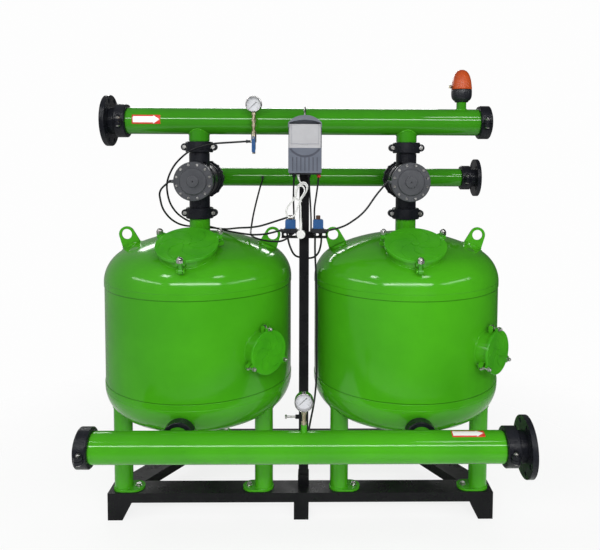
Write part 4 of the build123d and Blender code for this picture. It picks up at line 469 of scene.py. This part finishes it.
finishByNode = {
    "greenEnamel": ("outlet_manifold",),
    "pipeEnamel": ("inlet_manifold", "drain_manifold"),
    "castGreen": ("top_lid_left", "top_lid_right", "side_lid_left", "side_lid_right"),
    "framePaint": ("skid_frame", "control_post"),
    "castBlack": ("coupling_housings", "main_flange_adapters", "drain_flange_adapter", "end_caps",
                  "valve_body_left", "valve_body_right"),
    "bonnetPlastic": ("valve_cover_left", "valve_cover_right"),
    "blackPlastic": ("solenoid_bases", "air_valve_base", "inlet_diffusers", "underdrains", "valve_stem_left",
                     "valve_stem_right"),
    "rubber": ("coupling_gaskets", "lid_gaskets", "valve_diaphragms"),
    "zincSteel": ("coupling_bolts", "frame_bolts", "side_eye_bolts", "valve_cover_screws"),
    "brightSteel": ("gauge_cases",),
    "agedBrass": ("gauge_fittings",),
    "orangePlastic": ("air_valve_cap",),
    "bluePlastic": ("gauge_valve_lever",),
    "whitePlastic": ("air_valve_float", "power_plug"),
    "blackTube": ("command_tubes", "controller_cables"),
    "paleDial": ("gauge_dials",),
    "inkBlack": ("needle_upper", "needle_lower"),
}


def dress(node, material):
    slots = cadNodes[node].material_slots
    if not slots:
        cadNodes[node].data.materials.append(material)
    for slot in slots:
        slot.link = "OBJECT"
        slot.material = material


# mouldings of two colours: the second one fills boxes given in drawing millimetres
twoTones = {
    "solenoid_coils": {
        "material": "coilPlastic", "base": "bluePlastic",
        "inside": {"tint": (0.10, 0.045, 0.025), "shade": (0.06, 0.03, 0.02)},
        "boxes": (((-60, -212, 1256.2), (-34, -180, 1275)), ((52, -212, 1256.2), (80, -180, 1275)))},
    "line_fittings": {
        "material": "fittingMix", "base": "blackPlastic",
        "inside": {"tint": (0.52, 0.03, 0.02), "shade": (0.40, 0.02, 0.02)},
        "boxes": (((58, -202, 1420), (80, -178, 1441)),)},
    "controller_case": {
        "material": "hoodMix", "base": "hoodPlastic",
        "inside": {"tint": (0.02, 0.02, 0.024), "shade": (0.03, 0.03, 0.034)},
        "boxes": (((-60, -260, 1425), (84, -150, 1446.8)),)},
    "terminal_cover": {
        "material": "coverMix", "base": "hoodPlastic",
        "inside": {"tint": (0.052, 0.058, 0.080), "shade": (0.045, 0.050, 0.070)},
        "outside": {"tint": (0.088, 0.100, 0.130), "shade": (0.100, 0.112, 0.144)},
        "boxes": (((-60, -247.6, 1440), (84, -245.9, 1550)),)},
    "control_panel": {
        "material": "panelMix", "base": "doorPlastic",
        "inside": {"tint": (0.30, 0.31, 0.33), "shade": (0.27, 0.28, 0.30)},
        "boxes": (((-44.2, -239.5, 1560), (68.2, -230, 1645)),)},
    "window_door": {
        "material": "doorMix", "base": "doorPlastic",
        "inside": {"tint": (0.27, 0.28, 0.31), "shade": (0.24, 0.25, 0.28)},
        "boxes": (((-42.4, -260, 1563.6), (-41.2, -240, 1638)), ((65.2, -260, 1563.6), (66.4, -240, 1638)),
                  ((-42.4, -260, 1563.6), (66.4, -240, 1564.8)))},
}
made = {name: plainFinish(name, facts) for name, facts in finishes.items()}
for name, members in finishByNode.items():
    for member in members:
        dress(member, made[name])
tankEnamel, eyeBoltMix = tankFinish(), eyeBoltFinish()
for side in ("left", "right"):
    dress(f"vessel_{side}", tankEnamel)
    for bolt in ("front", "inner", "outer"):
        dress(f"eye_bolt_{side}_{bolt}", eyeBoltMix)
for node, facts in twoTones.items():
    dress(node, twoToneFinish(facts))
dress("sand_beds", sandFinish())
dress("gauge_lenses", glassFinish())
print("finishes are on the carried parts")

# mesh helpers


def meshPiece(name, shape, material, smooth=True, uv=None):
    # shape is a pair of points and faces; smooth is one answer for all faces, or a list with one for each
    verts, faces = shape
    mesh = bpy.data.meshes.new(name)
    mesh.from_pydata(verts.tolist(), [], faces.tolist() if isinstance(faces, np.ndarray) else faces)
    mesh.polygons.foreach_set("use_smooth", np.full(len(mesh.polygons), smooth))
    if uv is not None:
        corners = np.empty(len(mesh.loops), dtype=np.int32)
        mesh.loops.foreach_get("vertex_index", corners)
        layer = mesh.uv_layers.new(name="surface")
        layer.data.foreach_set("uv", np.asarray(uv, np.float32)[corners].ravel())
    mesh.update()
    mesh.materials.append(material)
    piece = bpy.data.objects.new(name, mesh)
    scene.collection.objects.link(piece)
    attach(piece, "filter")
    return piece


def gridFaces(rows, columns, closeRows=False, closeColumns=False):
    # quads between neighbouring points of a rows x columns grid
    counts = (np.arange(rows - (not closeRows)), np.arange(columns - (not closeColumns)))
    i, j = np.meshgrid(*counts, indexing="ij")
    here, there = i * columns, (i + 1) % rows * columns
    beyond = (j + 1) % columns
    return np.stack([here + j, there + j, there + beyond, here + beyond], -1).reshape(-1, 4)


def merge(parts):
    # several (points, quads) pairs as one
    verts = np.concatenate([points for points, _ in parts])
    starts = np.cumsum([0] + [len(points) for points, _ in parts[:-1]])
    return verts, np.concatenate([faces + start for (_, faces), start in zip(parts, starts)])


def facingOut(points, faces):
    # a closed mesh whose signed volume comes out negative is turned inside out
    first, second, third, fourth = (points[faces[:, corner]] for corner in range(4))
    volume = (first * np.cross(second, third)).sum() + (first * np.cross(third, fourth)).sum()
    return faces if volume > 0 else faces[:, ::-1]


def circle(radius, count):
    angle = np.linspace(0, tau, count, endpoint=False)
    return radius * np.cos(angle), radius * np.sin(angle)


def roundSection(first, second, sides):
    # at each point of a path, a circle of unit radius across it
    along, across = circle(1, sides)
    return along[None, :, None] * first[:, None, :] + across[None, :, None] * second[:, None, :]


# a direction that no turned piece has as its axis
slanted = (0.31, 0.87, 0.38)


def turned(profile, origin, axis, segments):
    # a closed (radius, height) profile turned about an axis through an origin
    axis = np.asarray(axis, float) / np.linalg.norm(axis)
    side = np.cross(axis, slanted)
    side /= np.linalg.norm(side)
    other = np.cross(axis, side)
    along, across = circle(1, segments)
    outward = along[:, None] * side + across[:, None] * other
    profile = np.asarray(profile, float)
    points = (np.asarray(origin, float) + profile[None, :, 1, None] * axis
              + profile[None, :, 0, None] * outward[:, None, :])
    points = row(points.reshape(-1, 3))
    return points, facingOut(points, gridFaces(segments, len(profile), True, True))


def beadAlong(path, upright, width, ripple=0.14, pitch=4.0, sides=8):
    # a weld bead: a round section carried along a closed path, its radius swelling at every ripple
    tangent = np.roll(path, -1, 0) - np.roll(path, 1, 0)
    step = np.linalg.norm(tangent, axis=1, keepdims=True)
    tangent = tangent / step
    first = np.cross(tangent, upright)
    first /= np.linalg.norm(first, axis=1, keepdims=True)
    second = np.cross(tangent, first)
    travel = np.cumsum(step[:, 0] / 2)
    swell = width * (1 + ripple * np.cos(tau * travel / pitch))
    section = swell[:, None, None] * roundSection(first, second, sides)
    points = row((path[:, None, :] + section).reshape(-1, 3))
    return points, facingOut(points, gridFaces(len(path), sides, True, True))


# weld beads

tank = {"axes": (-453.0, 453.0), "shell": 400.0, "lip": 402.0, "knuckle": 139.0, "crown": 736.46,
        "crownEdge": 324.2, "seams": (966.0, 561.0), "topEdge": 981.0, "lowEdge": 546.0, "depth": 200.0,
        "bead": 1.6, "proud": 0.1, "ripple": 0.1}


def headDepth(reach):
    # how far a dished head stands out at a distance from its axis: a wide arc, then a tight one at the rim
    crown = np.sqrt(np.maximum(tank["crown"] ** 2 - reach ** 2, 0)) - (tank["crown"] - tank["depth"])
    offset = np.clip(reach - (tank["lip"] - tank["knuckle"]), 0, tank["knuckle"])
    knuckle = np.sqrt(tank["knuckle"] ** 2 - offset ** 2)
    return np.where(reach < tank["crownEdge"], crown, knuckle)


sideNeck = {"azimuth": math.radians(-44), "z": 741.0, "radius": 74.0, "bead": 3.0}
legs = {"circle": 340.0, "radius": 38.0, "plateTop": 123.0, "angles": (-150, -30, 90), "bead": 3.2}
liftingLug = {"at": 298.0, "half": 42.0, "thick": 5.0, "bead": 2.4, "squareness": 1.25}
pipes = {"main": 57.15, "branch": 44.45, "bead": 2.8, "drainSlack": 0.3, "airStub": 21.2}
# each level pipe's axis, as its y and z
pipeAxes = {"inlet": (0.0, 1663.0), "outlet": (-542.0, 467.0), "drain": (369.0, 1406.5)}
airStubX = 692.0
# points round each kind of seam
ringPoints = {"girth": 700, "hatch": 300, "side": 220, "tee": 150, "leg": 120, "lug": 120}


def hatchPath(axisX):
    # every straight line down the neck's wall meets the dome where its height over the dome changes sign
    across, along = circle(hatchNeck["radius"], ringPoints["hatch"])
    tilt = hatchNeck["tilt"]
    lean, rise = math.cos(tilt), math.sin(tilt)
    start = np.stack([across, hatchNeck["y"] + along * lean, hatchNeck["z"] + along * rise], -1)
    down = np.array([0, rise, -lean])
    near, far = np.zeros(len(across)), np.full(len(across), hatchNeck["reach"])
    for _ in range(hatchNeck["halvings"]):
        middle = (near + far) / 2
        point = start + middle[:, None] * down
        reach = np.hypot(point[:, 0], point[:, 1])
        outside = point[:, 2] > tank["topEdge"] + headDepth(reach)
        near, far = np.where(outside, middle, near), np.where(outside, far, middle)
    return start + near[:, None] * down + (axisX, 0, 0), -down


def sidePath(axisX):
    # a level pipe through the shell: the reach out is the shell's arc at each sideways distance
    across, height = circle(sideNeck["radius"], ringPoints["side"])
    out = np.sqrt(tank["shell"] ** 2 - across ** 2)
    turn = sideNeck["azimuth"]
    outward = np.array([math.cos(turn), math.sin(turn), 0])
    aside = np.array([-math.sin(turn), math.cos(turn), 0])
    path = out[:, None] * outward + across[:, None] * aside + height[:, None] * np.array([0, 0, 1.0])
    return path + (axisX, 0, sideNeck["z"]), outward


def lugPath(axisX, side):
    # an oblong round the lug's foot, laid on the dome
    x, y = np.clip(circle(liftingLug["squareness"], ringPoints["lug"]), -1, 1)
    x, y = side * liftingLug["at"] + x * liftingLug["half"], y * liftingLug["thick"]
    z = tank["topEdge"] + headDepth(np.hypot(x, y))
    return np.stack([x + axisX, y, z], -1), np.array([0, 0, 1.0])


def tankWelds(axisX):
    parts = []
    for height in tank["seams"]:
        x, y = circle(tank["shell"] + tank["proud"], ringPoints["girth"])
        path = np.stack([x + axisX, y, np.full_like(x, height)], -1)
        parts.append(beadAlong(path, (0, 0, 1), tank["bead"], tank["ripple"]))
    for path, upright in (hatchPath(axisX), sidePath(axisX)):
        parts.append(beadAlong(path, upright, hatchNeck["bead"]))
    x, y = circle(pipes["branch"], ringPoints["tee"])
    neckFoot = tank["topEdge"] + headDepth(np.hypot(x, y))
    parts.append(beadAlong(np.stack([x + axisX, y, neckFoot], -1), (0, 0, 1), pipes["bead"]))
    for degrees in legs["angles"]:
        x, y = circle(legs["radius"], ringPoints["leg"])
        x = x + legs["circle"] * math.cos(math.radians(degrees))
        y = y + legs["circle"] * math.sin(math.radians(degrees))
        top = tank["lowEdge"] - headDepth(np.hypot(x, y))
        for height in (top, np.full_like(x, legs["plateTop"])):
            parts.append(beadAlong(np.stack([x + axisX, y, height], -1), (0, 0, 1), legs["bead"]))
    for side in (-1, 1):
        path, upright = lugPath(axisX, side)
        parts.append(beadAlong(path, upright, liftingLug["bead"]))
    return merge(parts)


def teePath(centre, branchAxis, pipeRadius, branchRadius):
    # a branch leaving a level pipe: along the branch, each point lies on the pipe's arc
    along, across = circle(branchRadius, ringPoints["tee"])
    out = np.sqrt(np.maximum(pipeRadius ** 2 - across ** 2, 0.0))
    branchAxis = np.asarray(branchAxis, float)
    aside = np.cross(branchAxis, (1, 0, 0))
    path = along[:, None] * np.array([1.0, 0, 0]) + across[:, None] * aside + out[:, None] * branchAxis
    return path + np.asarray(centre, float), branchAxis


def teeWelds(pipe, branchAxis, places, pipeRadius, branchRadius):
    # the seams of one pipe's branches, all on the same side of it
    parts = []
    for x in places:
        path, upright = teePath((x, *pipeAxes[pipe]), branchAxis, pipeRadius, branchRadius)
        parts.append(beadAlong(path, upright, pipes["bead"]))
    return merge(parts)


main, branch = pipes["main"], pipes["branch"]
weldRuns = {
    "welds_left": tankWelds(tank["axes"][0]),
    "welds_right": tankWelds(tank["axes"][1]),
    "welds_inlet": merge([teeWelds("inlet", (0, 0, -1), tank["axes"], main, branch),
                          teeWelds("inlet", (0, 0, 1), (airStubX,), main, pipes["airStub"])]),
    "welds_outlet": teeWelds("outlet", (0, 1, 0), tank["axes"], main, branch),
    "welds_drain": teeWelds("drain", (0, -1, 0), tank["axes"], branch, branch - pipes["drainSlack"]),
}
for name, beads in weldRuns.items():
    meshPiece(name, beads, made["greenEnamel"])
print("weld beads are laid")

# thin skins with true curves, laid over the carried pipes and tanks, so that reflections run clean

skin = {"lift": 0.06, "depth": 0.9, "edge": 0.5, "pipeEnd": 25.0, "rim": 401.8, "shellEnds": (565.3, 965.6),
        "turns": 192, "pipeTurns": 96, "drainEnds": (-504.0, 775.0), "arcSteps": 60, "crownFrom": 0.5,
        "crownGap": 4, "axisGap": 0.05}


def skinProfile(low, high, radius):
    # a long thin rectangle beside a wall, with close rings at its ends
    outer, inner, edge = radius + skin["lift"], radius - skin["depth"], skin["edge"]
    heights = (low, low + edge, high - edge, high)
    return [(outer, height) for height in heights] + [(inner, high), (inner, low)]


def pipeSkin(name, low, high, radius, material):
    tube = turned(skinProfile(low, high, radius), (0, *pipeAxes[name]), (1, 0, 0), skin["pipeTurns"])
    meshPiece(f"{name}_pipe_skin", tube, made[material])


def shellSkin(axisX):
    return turned(skinProfile(*skin["shellEnds"], tank["shell"]), (axisX, 0, 0), (0, 0, 1), skin["turns"])


def headSkin(axisX, edgeHeight, upward):
    # the head's own curve, moved a little out along its normal, and back inside the plate
    start = tank["lip"] - tank["knuckle"]
    first, last = (math.asin((reach - start) / tank["knuckle"]) for reach in (tank["crownEdge"], skin["rim"]))
    bend = np.linspace(first, last, skin["arcSteps"])
    crown = np.linspace(skin["crownFrom"], tank["crownEdge"] - skin["crownGap"], skin["arcSteps"])
    reach = np.concatenate([crown, start + tank["knuckle"] * np.sin(bend)])
    line = np.stack([reach, headDepth(reach)], -1)
    along = np.gradient(line, axis=0)
    along /= np.linalg.norm(along, axis=1, keepdims=True)
    normal = np.stack([-along[:, 1], along[:, 0]], -1)
    outline = np.concatenate([line + skin["lift"] * normal, (line - skin["depth"] * normal)[::-1]])
    profile = np.stack([np.maximum(outline[:, 0], skin["axisGap"]), edgeHeight + upward * outline[:, 1]], -1)
    return turned(profile, (axisX, 0, 0), (0, 0, 1), skin["turns"])


for side, axisX in zip(("left", "right"), tank["axes"]):
    pieces = (shellSkin(axisX), headSkin(axisX, tank["topEdge"], 1), headSkin(axisX, tank["lowEdge"], -1))
    for part, shape in zip(("shell", "upper_head", "lower_head"), pieces):
        meshPiece(f"{part}_skin_{side}", shape, tankEnamel)
for name, material in (("inlet", "pipeEnamel"), ("outlet", "greenEnamel")):
    low, high = (corner[0] * 1000 - drawingShift[0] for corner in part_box(f"{name}_manifold"))
    pipeSkin(name, low + skin["pipeEnd"], high - skin["pipeEnd"], pipes["main"], material)
pipeSkin("drain", *skin["drainEnds"], pipes["branch"], "pipeEnamel")
print("skins are laid over pipes and tanks")

# gauges: printed scales and bezels

gaugeFace = {"centres": {"upper": (-206, -98, 1730), "lower": (16, -542, 635)}, "dialBack": 10.0,
             "sunk": 0.05, "raise": 0.25, "start": -137.0, "sweep": 270.0, "major": 10, "minor": 50,
             "outer": 28.0, "longEvery": 5, "longTick": (5.0, 0.42), "shortTick": (2.8, 0.2),
             "numberRing": 18.5, "numberSize": 5.2, "numberSunk": 0.08}
# the bezel's section, as a radius and a depth from the gauge's centre
bezelProfile = ((29.6, -11.2), (30.0, -13.9), (31.0, -14.4), (32.2, -14.4), (33.2, -13.7), (33.4, -12.8),
                (33.4, -11.2))


def dialAngle(mark, marks):
    return math.radians(gaugeFace["start"] - gaugeFace["sweep"] * mark / marks)


def bar(low, high, halfWidth, angle, depth):
    # one raised tick: a thin box from one radius to another along an angle on the dial
    outline = ((low, -1), (high, -1), (high, 1), (low, 1))
    corners = np.array([(*corner, level) for level in (0, 1) for corner in outline], float)
    reach, width = corners[:, 0], corners[:, 1] * halfWidth
    x = reach * np.cos(angle) - width * np.sin(angle)
    z = reach * np.sin(angle) + width * np.cos(angle)
    y = depth[0] + corners[:, 2] * (depth[1] - depth[0])
    faces = np.array([(3, 2, 1, 0), (4, 5, 6, 7), (0, 1, 5, 4), (1, 2, 6, 5), (2, 3, 7, 6), (3, 0, 4, 7)])
    return np.stack([x, y, z], -1), faces


def dialPrint(centre):
    # the ring of ticks, every fifth one long
    back = gaugeFace["dialBack"] + gaugeFace["sunk"]
    depth = (back, back - gaugeFace["raise"])
    outer = gaugeFace["outer"]
    parts = []
    for mark in range(gaugeFace["minor"] + 1):
        length, half = gaugeFace["shortTick" if mark % gaugeFace["longEvery"] else "longTick"]
        parts.append(bar(outer - length, outer, half, dialAngle(mark, gaugeFace["minor"]), depth))
    verts, faces = merge(parts)
    return row(verts + np.asarray(centre, float)), faces


def numberMeshes(centre):
    # plain numbers round the dial, one mesh each
    ring, back = gaugeFace["numberRing"], gaugeFace["dialBack"] - gaugeFace["numberSunk"]
    words = []
    for mark in range(0, gaugeFace["major"] + 1, 2):
        angle = dialAngle(mark, gaugeFace["major"])
        text = bpy.data.curves.new("number", "FONT")
        text.body = str(mark)
        text.size = gaugeFace["numberSize"] / 1000
        text.align_x = "CENTER"
        text.align_y = "CENTER"
        text.extrude = gaugeFace["raise"] / 2 / 1000
        holder = bpy.data.objects.new("number", text)
        scene.collection.objects.link(holder)
        bpy.context.view_layer.update()
        mesh = bpy.data.meshes.new_from_object(holder.evaluated_get(bpy.context.evaluated_depsgraph_get()))
        bpy.data.objects.remove(holder)
        offset = (ring * math.cos(angle), back, ring * math.sin(angle))
        spot = Matrix.Translation(row([np.array(centre) + offset])[0])
        mesh.transform(spot @ Matrix.Rotation(math.pi / 2, 4, "X"))
        words.append(mesh)
    return words


def joinMeshes(name, meshes, material):
    verts, faces, start = [], [], 0
    for mesh in meshes:
        points = np.empty(len(mesh.vertices) * 3)
        mesh.vertices.foreach_get("co", points)
        verts.append(points.reshape(-1, 3))
        faces += [[corner + start for corner in polygon.vertices] for polygon in mesh.polygons]
        start += len(mesh.vertices)
    joined = bpy.data.meshes.new(name)
    joined.from_pydata(np.concatenate(verts).tolist(), [], faces)
    joined.materials.append(material)
    return joined


for side, centre in gaugeFace["centres"].items():
    scale = meshPiece(f"gauge_scale_{side}", dialPrint(centre), made["inkBlack"], smooth=False)
    scale.data = joinMeshes("numbers", [scale.data] + numberMeshes(centre), made["inkBlack"])
    bezel = turned(bezelProfile, centre, (0, 1, 0), 64)
    meshPiece(f"gauge_bezel_{side}", bezel, made["brightSteel"])
print("gauge scales are printed")

# air release valve: a smooth cap over a rounded cup, with a small outlet

airValve = {
    "centre": (airStubX, 0, 0),
    "cap": ((43.4, 1806), (44.3, 1807), (44.4, 1810), (43.6, 1818), (41.6, 1834), (38.8, 1850),
            (34.6, 1864.5), (28.6, 1876.5), (20.6, 1885.5), (10.8, 1890.8), (0.05, 1892), (0.05, 1889),
            (18.0, 1883), (31.5, 1864), (38.6, 1834), (41.4, 1806)),
    "cup": ((29.0, 1752), (29.8, 1756), (35.0, 1759.5), (40.5, 1766), (43.6, 1775), (44.5, 1786),
            (44.5, 1801), (43.8, 1804.8), (42.6, 1805.4), (41.2, 1805.4), (39.6, 1788), (27.2, 1770),
            (27.2, 1752)),
    "outlet": ((6.0, 0), (6.0, 9), (7.6, 9.4), (7.6, 13.4), (7.0, 14), (4.6, 14), (4.6, 4), (0.05, 4),
               (0.05, 0)),
    "outletAt": (650, -8, 1817), "outletAxis": (-1, -0.3, 0),
}
cap, cup = (turned(airValve[name], airValve["centre"], (0, 0, 1), 72) for name in ("cap", "cup"))
outlet = turned(airValve["outlet"], airValve["outletAt"], airValve["outletAxis"], 32)
airCap = meshPiece("air_cap_shell", cap, made["orangePlastic"])
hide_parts("air_valve_cap")
meshPiece("air_valve_cup", cup, made["blackPlastic"])
meshPiece("air_valve_outlet", outlet, made["agedBrass"])
print("air valve is dressed")

# flow labels: a red field with a white arrow and no words

flowLabels = {"inlet": {"ends": (-729, -608), "angles": (-16, 24)},
              "outlet": {"ends": (547, 666), "angles": (60, 96)}}
labelSheet = {"lift": 0.12, "film": 0.0003, "columns": 24, "rows": 14}
# the arrow on the label's own surface, which runs from 0 to 1 both ways
arrow = {"tail": 0.035, "neck": 0.75, "tip": 0.965, "shaftHalf": 0.33, "headHalf": 0.46}
labelPaint = {"cloud": 30.0, "gloss": (0.28, 0.42), "grain": 900, "grainDepth": 0.0001, "shine": 0.4,
              "wear": (90.0, 4.0), "wearRise": (0.5, 0.8), "white": ((0.80, 0.79, 0.78), (0.62, 0.60, 0.58)),
              "whiteWear": 0.25, "red": ((0.56, 0.035, 0.02), (0.44, 0.03, 0.02)), "redWear": 0.4}


def labelFinish():
    # a bar, then a head that narrows towards the tip, in worn white on worn red
    paint, place, _ = startPaint("labelPrint")
    surface = paint.node("UVMap", {"uv_map": "surface"})
    along = coordinate(paint, surface, 0)
    offset = abs(coordinate(paint, surface, 1) - 0.5)
    shaft = along.above(arrow["tail"]) * along.below(arrow["neck"]) * offset.below(arrow["shaftHalf"])
    slope = arrow["headHalf"] * (arrow["tip"] - along) / (arrow["tip"] - arrow["neck"])
    head = along.above(arrow["neck"]) * offset.below(slope)
    wear = paint.ramp(paint.noise(place, *labelPaint["wear"]), *labelPaint["wearRise"])
    white = paint.blend(wear * labelPaint["whiteWear"], *labelPaint["white"])
    red = paint.blend(wear * labelPaint["redWear"], *labelPaint["red"])
    return closePaint(paint, paint.blend((shaft + head).clip(), red, white), labelPaint, place)


labelPrint = labelFinish()
for name, facts in flowLabels.items():
    # a patch of the pipe's own cylinder, just over its wall
    columns, rows = labelSheet["columns"], labelSheet["rows"]
    u, v = np.meshgrid(np.linspace(0, 1, columns), np.linspace(0, 1, rows), indexing="ij")
    turn = np.radians(facts["angles"][0] + v * (facts["angles"][1] - facts["angles"][0]))
    radius = pipes["main"] + labelSheet["lift"]
    centreY, centreZ = pipeAxes[name]
    x = facts["ends"][0] + u * (facts["ends"][1] - facts["ends"][0])
    points = np.stack([x, centreY - radius * np.cos(turn), centreZ + radius * np.sin(turn)], -1)
    patch = (row(points.reshape(-1, 3)), gridFaces(columns, rows))
    label = meshPiece(f"flow_label_{name}", patch, labelPrint,
                      uv=np.stack([u, v], -1).reshape(-1, 2))
    film = label.modifiers.new("film", "SOLIDIFY")
    film.thickness = labelSheet["film"]
    film.offset = 1
print("flow labels are on the pipes")

# white supply cord: lead, three turns of a loose hank, tail

supplyCord = {"radius": 0.003, "length": 1.22, "layers": (-211.0, -217.4, -223.8, -230.2)}
lowerLobe = ((-13.5, 1316), (-21.5, 1294), (-28, 1276), (-40, 1265.5), (-54, 1265.5), (-63.5, 1277.5))
climb = ((-64, 1295, 0.3), (-55, 1315, 0.7), (-36, 1333, 1.0))
upperLobes = (
    ((-24, 1351), (-24, 1375), (-16.5, 1396), (-2, 1408), (13, 1408), (22.5, 1396.5), (22, 1380), (13, 1361),
     (0, 1345)),
    ((-23, 1351), (-22, 1373), (-14.5, 1391), (-1, 1402), (12.5, 1401), (20.5, 1389.5), (19, 1374),
     (10, 1358), (-2, 1344)),
    ((-25.5, 1351), (-26.5, 1370), (-20.5, 1387), (-7, 1395.5), (7, 1391), (12, 1377), (5.5, 1360),
     (-5.5, 1345)),
)
cordPoints = [(-16, -200, 1444), (-15.5, -201, 1429), (-11, -206, 1415), (-3, -210, 1402), (8, -211, 1387),
              (11, -211, 1367), (-1, -211, 1345)]
for turn, lobe in enumerate(upperLobes):
    here, there = supplyCord["layers"][turn:turn + 2]
    cordPoints += [(x, here, z) for x, z in lowerLobe]
    cordPoints += [(x, here + share * (there - here), z) for x, z, share in climb]
    cordPoints += [(x, there, z) for x, z in lobe]
cordPoints += [(-7, -230.2, 1328), (-5.5, -228.5, 1310), (-5, -226, 1290), (-4.5, -223, 1268),
               (-5, -222, 1243)]


def layCord(name, points, material):
    curve = bpy.data.curves.new(name, "CURVE")
    curve.dimensions = "3D"
    curve.bevel_depth = supplyCord["radius"]
    curve.bevel_resolution = 5
    curve.use_fill_caps = True
    curve.resolution_u = 8
    spline = curve.splines.new("NURBS")
    spline.points.add(len(points) - 1)
    placed = row(points)
    spline.points.foreach_set("co", np.concatenate([placed, np.ones((len(placed), 1))], 1).ravel())
    spline.order_u = 3
    spline.use_endpoint_u = True
    curve.materials.append(material)
    cord = bpy.data.objects.new(name, curve)
    scene.collection.objects.link(cord)
    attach(cord, "filter")
    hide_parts("power_cord_lead", "power_cord_hank", "power_cord_tail")
    return cord


cordSheath = plainFinish("cordSheath", dict(finishes["whitePlastic"], gloss=(0.34, 0.5), coat=0.05))
powerCord = layCord("power_cord", cordPoints, cordSheath)


# each sleeve runs along an arc drawn by three points, from its wide end to its narrow one
strainReliefs = {
    "cord_strain_relief": {"arc": ((-16, -200, 1441), (-15.7, -200.5, 1429), (-12.6, -204, 1418.5)),
                           "rings": 44, "radii": (6.4, 3.7), "ridges": 6},
    "plug_strain_relief": {"arc": ((-5, -222, 1240), (-4.9, -222, 1252), (-4.7, -222.4, 1266)),
                           "rings": 40, "radii": (6.0, 3.6), "ridges": 5},
}
ridgeHeight = 0.35
sleeveSides = 24
nearlyLevel = (0.0, 1.0, 0.05)
hankTie = {"centre": (-19.5, -221, 1339), "half": (19, 14.6), "width": 5.0, "thick": 1.0, "lean": 0.45,
           "squareness": 3.2, "points": 96}


def sleeveAlong(path, radii):
    # a round section whose radius follows a list, carried along an open path, closed at both ends
    tangent = np.gradient(path, axis=0)
    tangent /= np.linalg.norm(tangent, axis=1, keepdims=True)
    first = np.cross(tangent, nearlyLevel)
    first /= np.linalg.norm(first, axis=1, keepdims=True)
    second = np.cross(first, tangent)
    points = path[:, None, :] + radii[:, None, None] * roundSection(first, second, sleeveSides)
    faces = gridFaces(len(path), sleeveSides, False, True)[:, ::-1].tolist()
    last = (len(path) - 1) * sleeveSides
    faces.append(list(range(sleeveSides)))
    faces.append([last + corner for corner in reversed(range(sleeveSides))])
    return row(points.reshape(-1, 3)), faces


def bezier(start, middle, end, count):
    # a point slides from start to end, drawn towards the middle one
    start, middle, end = (np.array(point, float) for point in (start, middle, end))
    t = np.linspace(0, 1, count)[:, None]
    return (1 - t) ** 2 * start + 2 * t * (1 - t) * middle + t ** 2 * end


def strainRelief(name, facts):
    # a taper whose rings stand up and fall away
    t = np.linspace(0, 1, facts["rings"])
    wide, narrow = facts["radii"]
    radii = wide + (narrow - wide) * t + ridgeHeight * np.cos(tau * facts["ridges"] * t)
    sleeve = sleeveAlong(bezier(*facts["arc"], facts["rings"]), radii)
    rounded = [len(face) == 4 for face in sleeve[1]]
    return meshPiece(name, sleeve, cordSheath, smooth=rounded)


def tieMesh(facts):
    # a flat band carried round a rounded oblong that leans with the hank
    c, s = circle(1, facts["points"])
    power = 2 / facts["squareness"]
    x = facts["half"][0] * np.sign(c) * np.abs(c) ** power
    y = facts["half"][1] * np.sign(s) * np.abs(s) ** power
    outward = np.stack([c, s, np.zeros_like(c)], -1)
    base = np.stack([x, y, -facts["lean"] * x], -1) + np.array(facts["centre"], float)
    section = np.array([(0, -1), (1, -1), (1, 1), (0, 1)], float) * (facts["thick"], facts["width"] / 2)
    out, up = section[None, :, 0, None], section[None, :, 1, None]
    points = base[:, None, :] + out * outward[:, None, :] + up * (0, 0, 1.0)
    return row(points.reshape(-1, 3)), gridFaces(facts["points"], 4, True, True)


gland, plugNeck = (strainRelief(name, facts) for name, facts in strainReliefs.items())
tie = meshPiece("cord_tie", tieMesh(hankTie), cordSheath, smooth=False)
print("supply cord is laid")
